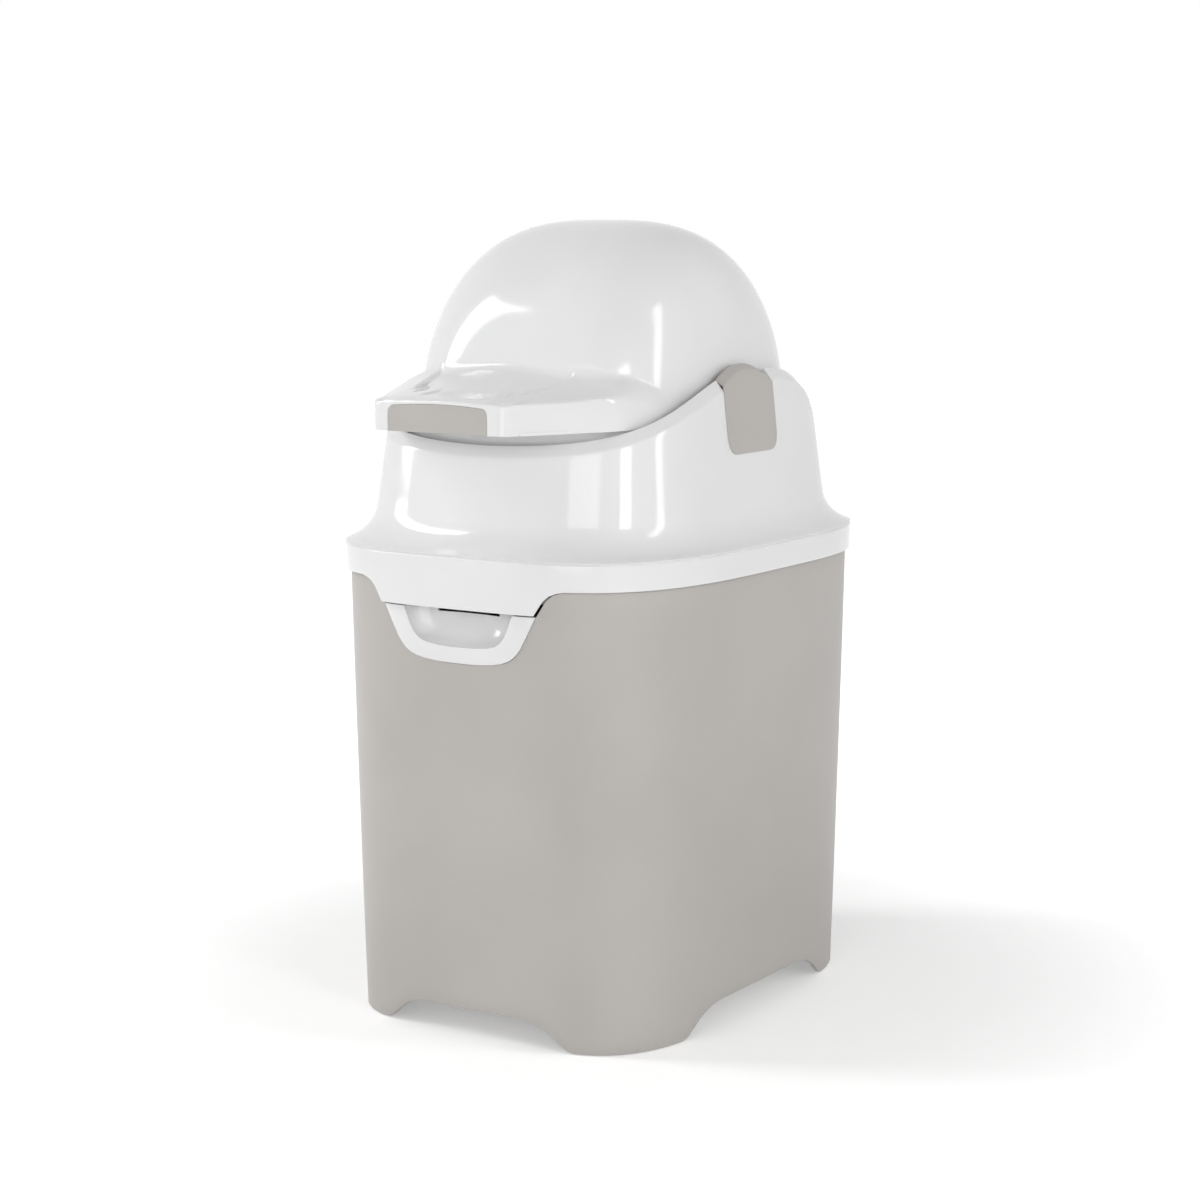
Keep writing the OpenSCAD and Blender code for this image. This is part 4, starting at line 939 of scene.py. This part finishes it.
# %% Steel and rubber
def steel(name):
    material, tree, shader, place = nodes_of(name)
    stretch = tree.nodes.new("ShaderNodeMapping")
    stretch.inputs["Scale"].default_value = (60.0, 900.0, 900.0)
    tree.links.new(place.outputs["Object"], stretch.inputs["Vector"])
    scratches = noise(tree, stretch.outputs["Vector"], 1.0, 6.0)
    tint = shade(tree, scratches, (0.50, 0.51, 0.53), (0.66, 0.67, 0.69))
    tree.links.new(tint.outputs["Color"], shader.inputs["Base Color"])
    tree.links.new(span(tree, scratches, 0.24, 0.42).outputs["Result"], shader.inputs["Roughness"])
    bump(tree, shader, scratches, 0.15, 0.00002)
    shader.inputs["Metallic"].default_value = 1.0
    return material


STEEL = steel("zinc_plated_steel")
RUBBER = plastic("dark_seal_rubber", (0.018, 0.018, 0.020), (0.035, 0.035, 0.037),
                 (0.60, 0.78), 700.0, 0.0001, specular=0.35)

# %% [markdown]
# Every piece of the frame gets the finish of its slot, also where a new piece covers it. The
# new pieces are painted by name. The drum below the dome is glossy like the dome.


# %% Give each piece its finish
def paint(obj, material):
    obj.data.materials.clear()
    obj.data.materials.append(material)


BY_SLOT = {"bin_grey": SATIN_GREY, "top_white": GLOSS_WHITE, "inner_white": INNER_WHITE,
           "zinc_steel": STEEL, "dark_rubber": RUBBER}
for part in frame["record"]["subparts"]:
    paint(frame["nodes"][part["node"]], BY_SLOT[part["material_slot"]])
for name in ("bin_tub", "pivot_cover_left", "pivot_cover_right"):
    paint(bpy.data.objects[name], SATIN_GREY)
for name in ("rim_housing", "lip_catch", "dome_cover", "pull_cup_frame"):
    paint(bpy.data.objects[name], GLOSS_WHITE)
paint(frame["nodes"]["lower_drum"], GLOSS_WHITE)
paint(grip, SOFT_GREY)
print("materials:", [m.name for m in bpy.data.materials])

# %% [markdown]
# ## Studio
# A white floor and surround, a tall soft strip on each side, a small window at the front right
# and a large weak fill from the front, at a level where a colour renders about as it is written.
# The strips are tall and narrow because their reflections draw the long soft streaks down the
# glossy dome. The floor and the surround only look whiter to the rays that see them, so the
# object gets no more light from that. The floor's glow is weak near the object, which keeps the
# shadow, and strong further off.

# %% Floor
bpy.ops.object.select_all(action="DESELECT")
bpy.ops.mesh.primitive_plane_add(size=14.0, location=(0, 0, -0.0005))
floor = bpy.context.active_object
floor.name = "studio_floor"

white, tree, shader, place = nodes_of("studio_white")
speckle = noise(tree, place.outputs["Object"], 40.0)
tint = shade(tree, speckle, (0.86, 0.86, 0.86), (0.88, 0.88, 0.88))
tree.links.new(tint.outputs["Color"], shader.inputs["Base Color"])
shader.inputs["Roughness"].default_value = 0.9
shader.inputs["Specular IOR Level"].default_value = 0.1


def background_rays(tree):
    """One where a camera, glossy or transmission ray looks, and nought for the light itself."""
    rays = tree.nodes.new("ShaderNodeLightPath")
    seen = rays.outputs["Is Camera Ray"]
    for ray in ("Is Glossy Ray", "Is Transmission Ray"):
        either = tree.nodes.new("ShaderNodeMath")
        either.operation = "MAXIMUM"
        tree.links.new(seen, either.inputs[0])
        tree.links.new(rays.outputs[ray], either.inputs[1])
        seen = either.outputs[0]
    return seen


GLOW_NEAR, GLOW_FAR = 0.33, 0.85
GLOW_FROM, GLOW_TO = 0.22, 0.85
away = tree.nodes.new("ShaderNodeVectorMath")
away.operation = "LENGTH"
glow = tree.nodes.new("ShaderNodeMapRange")
glow.interpolation_type = "SMOOTHSTEP"
glow.inputs["From Min"].default_value = GLOW_FROM
glow.inputs["From Max"].default_value = GLOW_TO
glow.inputs["To Min"].default_value = GLOW_NEAR
glow.inputs["To Max"].default_value = GLOW_FAR
shown = tree.nodes.new("ShaderNodeMath")
shown.operation = "MULTIPLY"
tree.links.new(place.outputs["Object"], away.inputs[0])
tree.links.new(away.outputs["Value"], glow.inputs["Value"])
tree.links.new(glow.outputs["Result"], shown.inputs[0])
tree.links.new(background_rays(tree), shown.inputs[1])
tree.links.new(shown.outputs[0], shader.inputs["Emission Strength"])
shader.inputs["Emission Color"].default_value = (1, 1, 1, 1)
floor.data.materials.append(white)

# %% [markdown]
# The surround lights the object a little more from the level of the horizon than from above,
# as a studio with white walls does.

# %% Surround
SKY_LOW, SKY_HIGH = 0.62, 0.24
world = bpy.data.worlds.new("studio_world")
bpy.context.scene.world = world
world.use_nodes = True
sky = world.node_tree
back = sky.nodes["Background"]
up = sky.nodes.new("ShaderNodeSeparateXYZ")
where = sky.nodes.new("ShaderNodeTexCoord")
dome_light = sky.nodes.new("ShaderNodeMapRange")
dome_light.inputs["To Min"].default_value = SKY_LOW
dome_light.inputs["To Max"].default_value = SKY_HIGH
level = sky.nodes.new("ShaderNodeMix")
level.inputs["B"].default_value = 1.0
sky.links.new(where.outputs["Generated"], up.inputs[0])
sky.links.new(up.outputs["Z"], dome_light.inputs["Value"])
sky.links.new(dome_light.outputs["Result"], level.inputs["A"])
sky.links.new(background_rays(sky), level.inputs["Factor"])
sky.links.new(level.outputs["Result"], back.inputs["Strength"])
back.inputs["Color"].default_value = (1, 1, 1, 1)

# %% [markdown]
# Each lamp is an area light aimed at the object's middle. Its place is given by the direction in
# which its reflection shows on the dome and the housing.


# %% Lamps
MIDDLE_Z = 0.42


def lamp(name, place, target, size, power):
    data = bpy.data.lights.new(name, "AREA")
    data.shape = "RECTANGLE"
    data.size, data.size_y = size
    data.energy = power
    obj = bpy.data.objects.new(name, data)
    bpy.context.scene.collection.objects.link(obj)
    obj.location = place
    obj.rotation_euler = (Vector(target) - Vector(place)).to_track_quat("-Z", "Y").to_euler()


def lamp_place(turn, rise, away=2.4):
    """Place of a lamp, turned from the front to the right and risen over the object's middle, in degrees."""
    a, e = math.radians(turn), math.radians(rise)
    flat = away * math.cos(e)
    return (flat * math.sin(a), -flat * math.cos(a), MIDDLE_Z + away * math.sin(e))


lamp("left_strip", lamp_place(-62, 28), (0, 0, MIDDLE_Z), (0.55, 1.9), 24)
lamp("right_strip", lamp_place(104, 22), (0, 0, MIDDLE_Z), (0.30, 1.5), 8)
lamp("front_window", lamp_place(66, 13), (0, 0, MIDDLE_Z), (0.55, 0.8), 9)
lamp("front_fill", lamp_place(18, 8, 2.8), (0, 0, 0.36), (1.6, 1.4), 18)

# %% [markdown]
# The camera's place, height and lens were found by matching the bin's edges with the photo: it
# stands 33 degrees round to the right of the front and looks down by 8.4 degrees.

# %% Camera
CAMERA_AT = Vector((1.1250, -1.7473, 0.6201))
CAMERA_BACK = Vector((0.53743, -0.83060, 0.14605))
SENSOR_W = 36.0
FOCAL_PX, FRAME_PX = 2612.84, 1200
camera_data = bpy.data.cameras.new("photo_camera")
camera_data.sensor_width = SENSOR_W
camera_data.lens = FOCAL_PX / FRAME_PX * SENSOR_W
camera = bpy.data.objects.new("photo_camera", camera_data)
bpy.context.scene.collection.objects.link(camera)
camera.location = CAMERA_AT
camera.rotation_euler = CAMERA_BACK.to_track_quat("Z", "Y").to_euler()
bpy.context.scene.camera = camera
bpy.context.scene.view_settings.view_transform = "Standard"
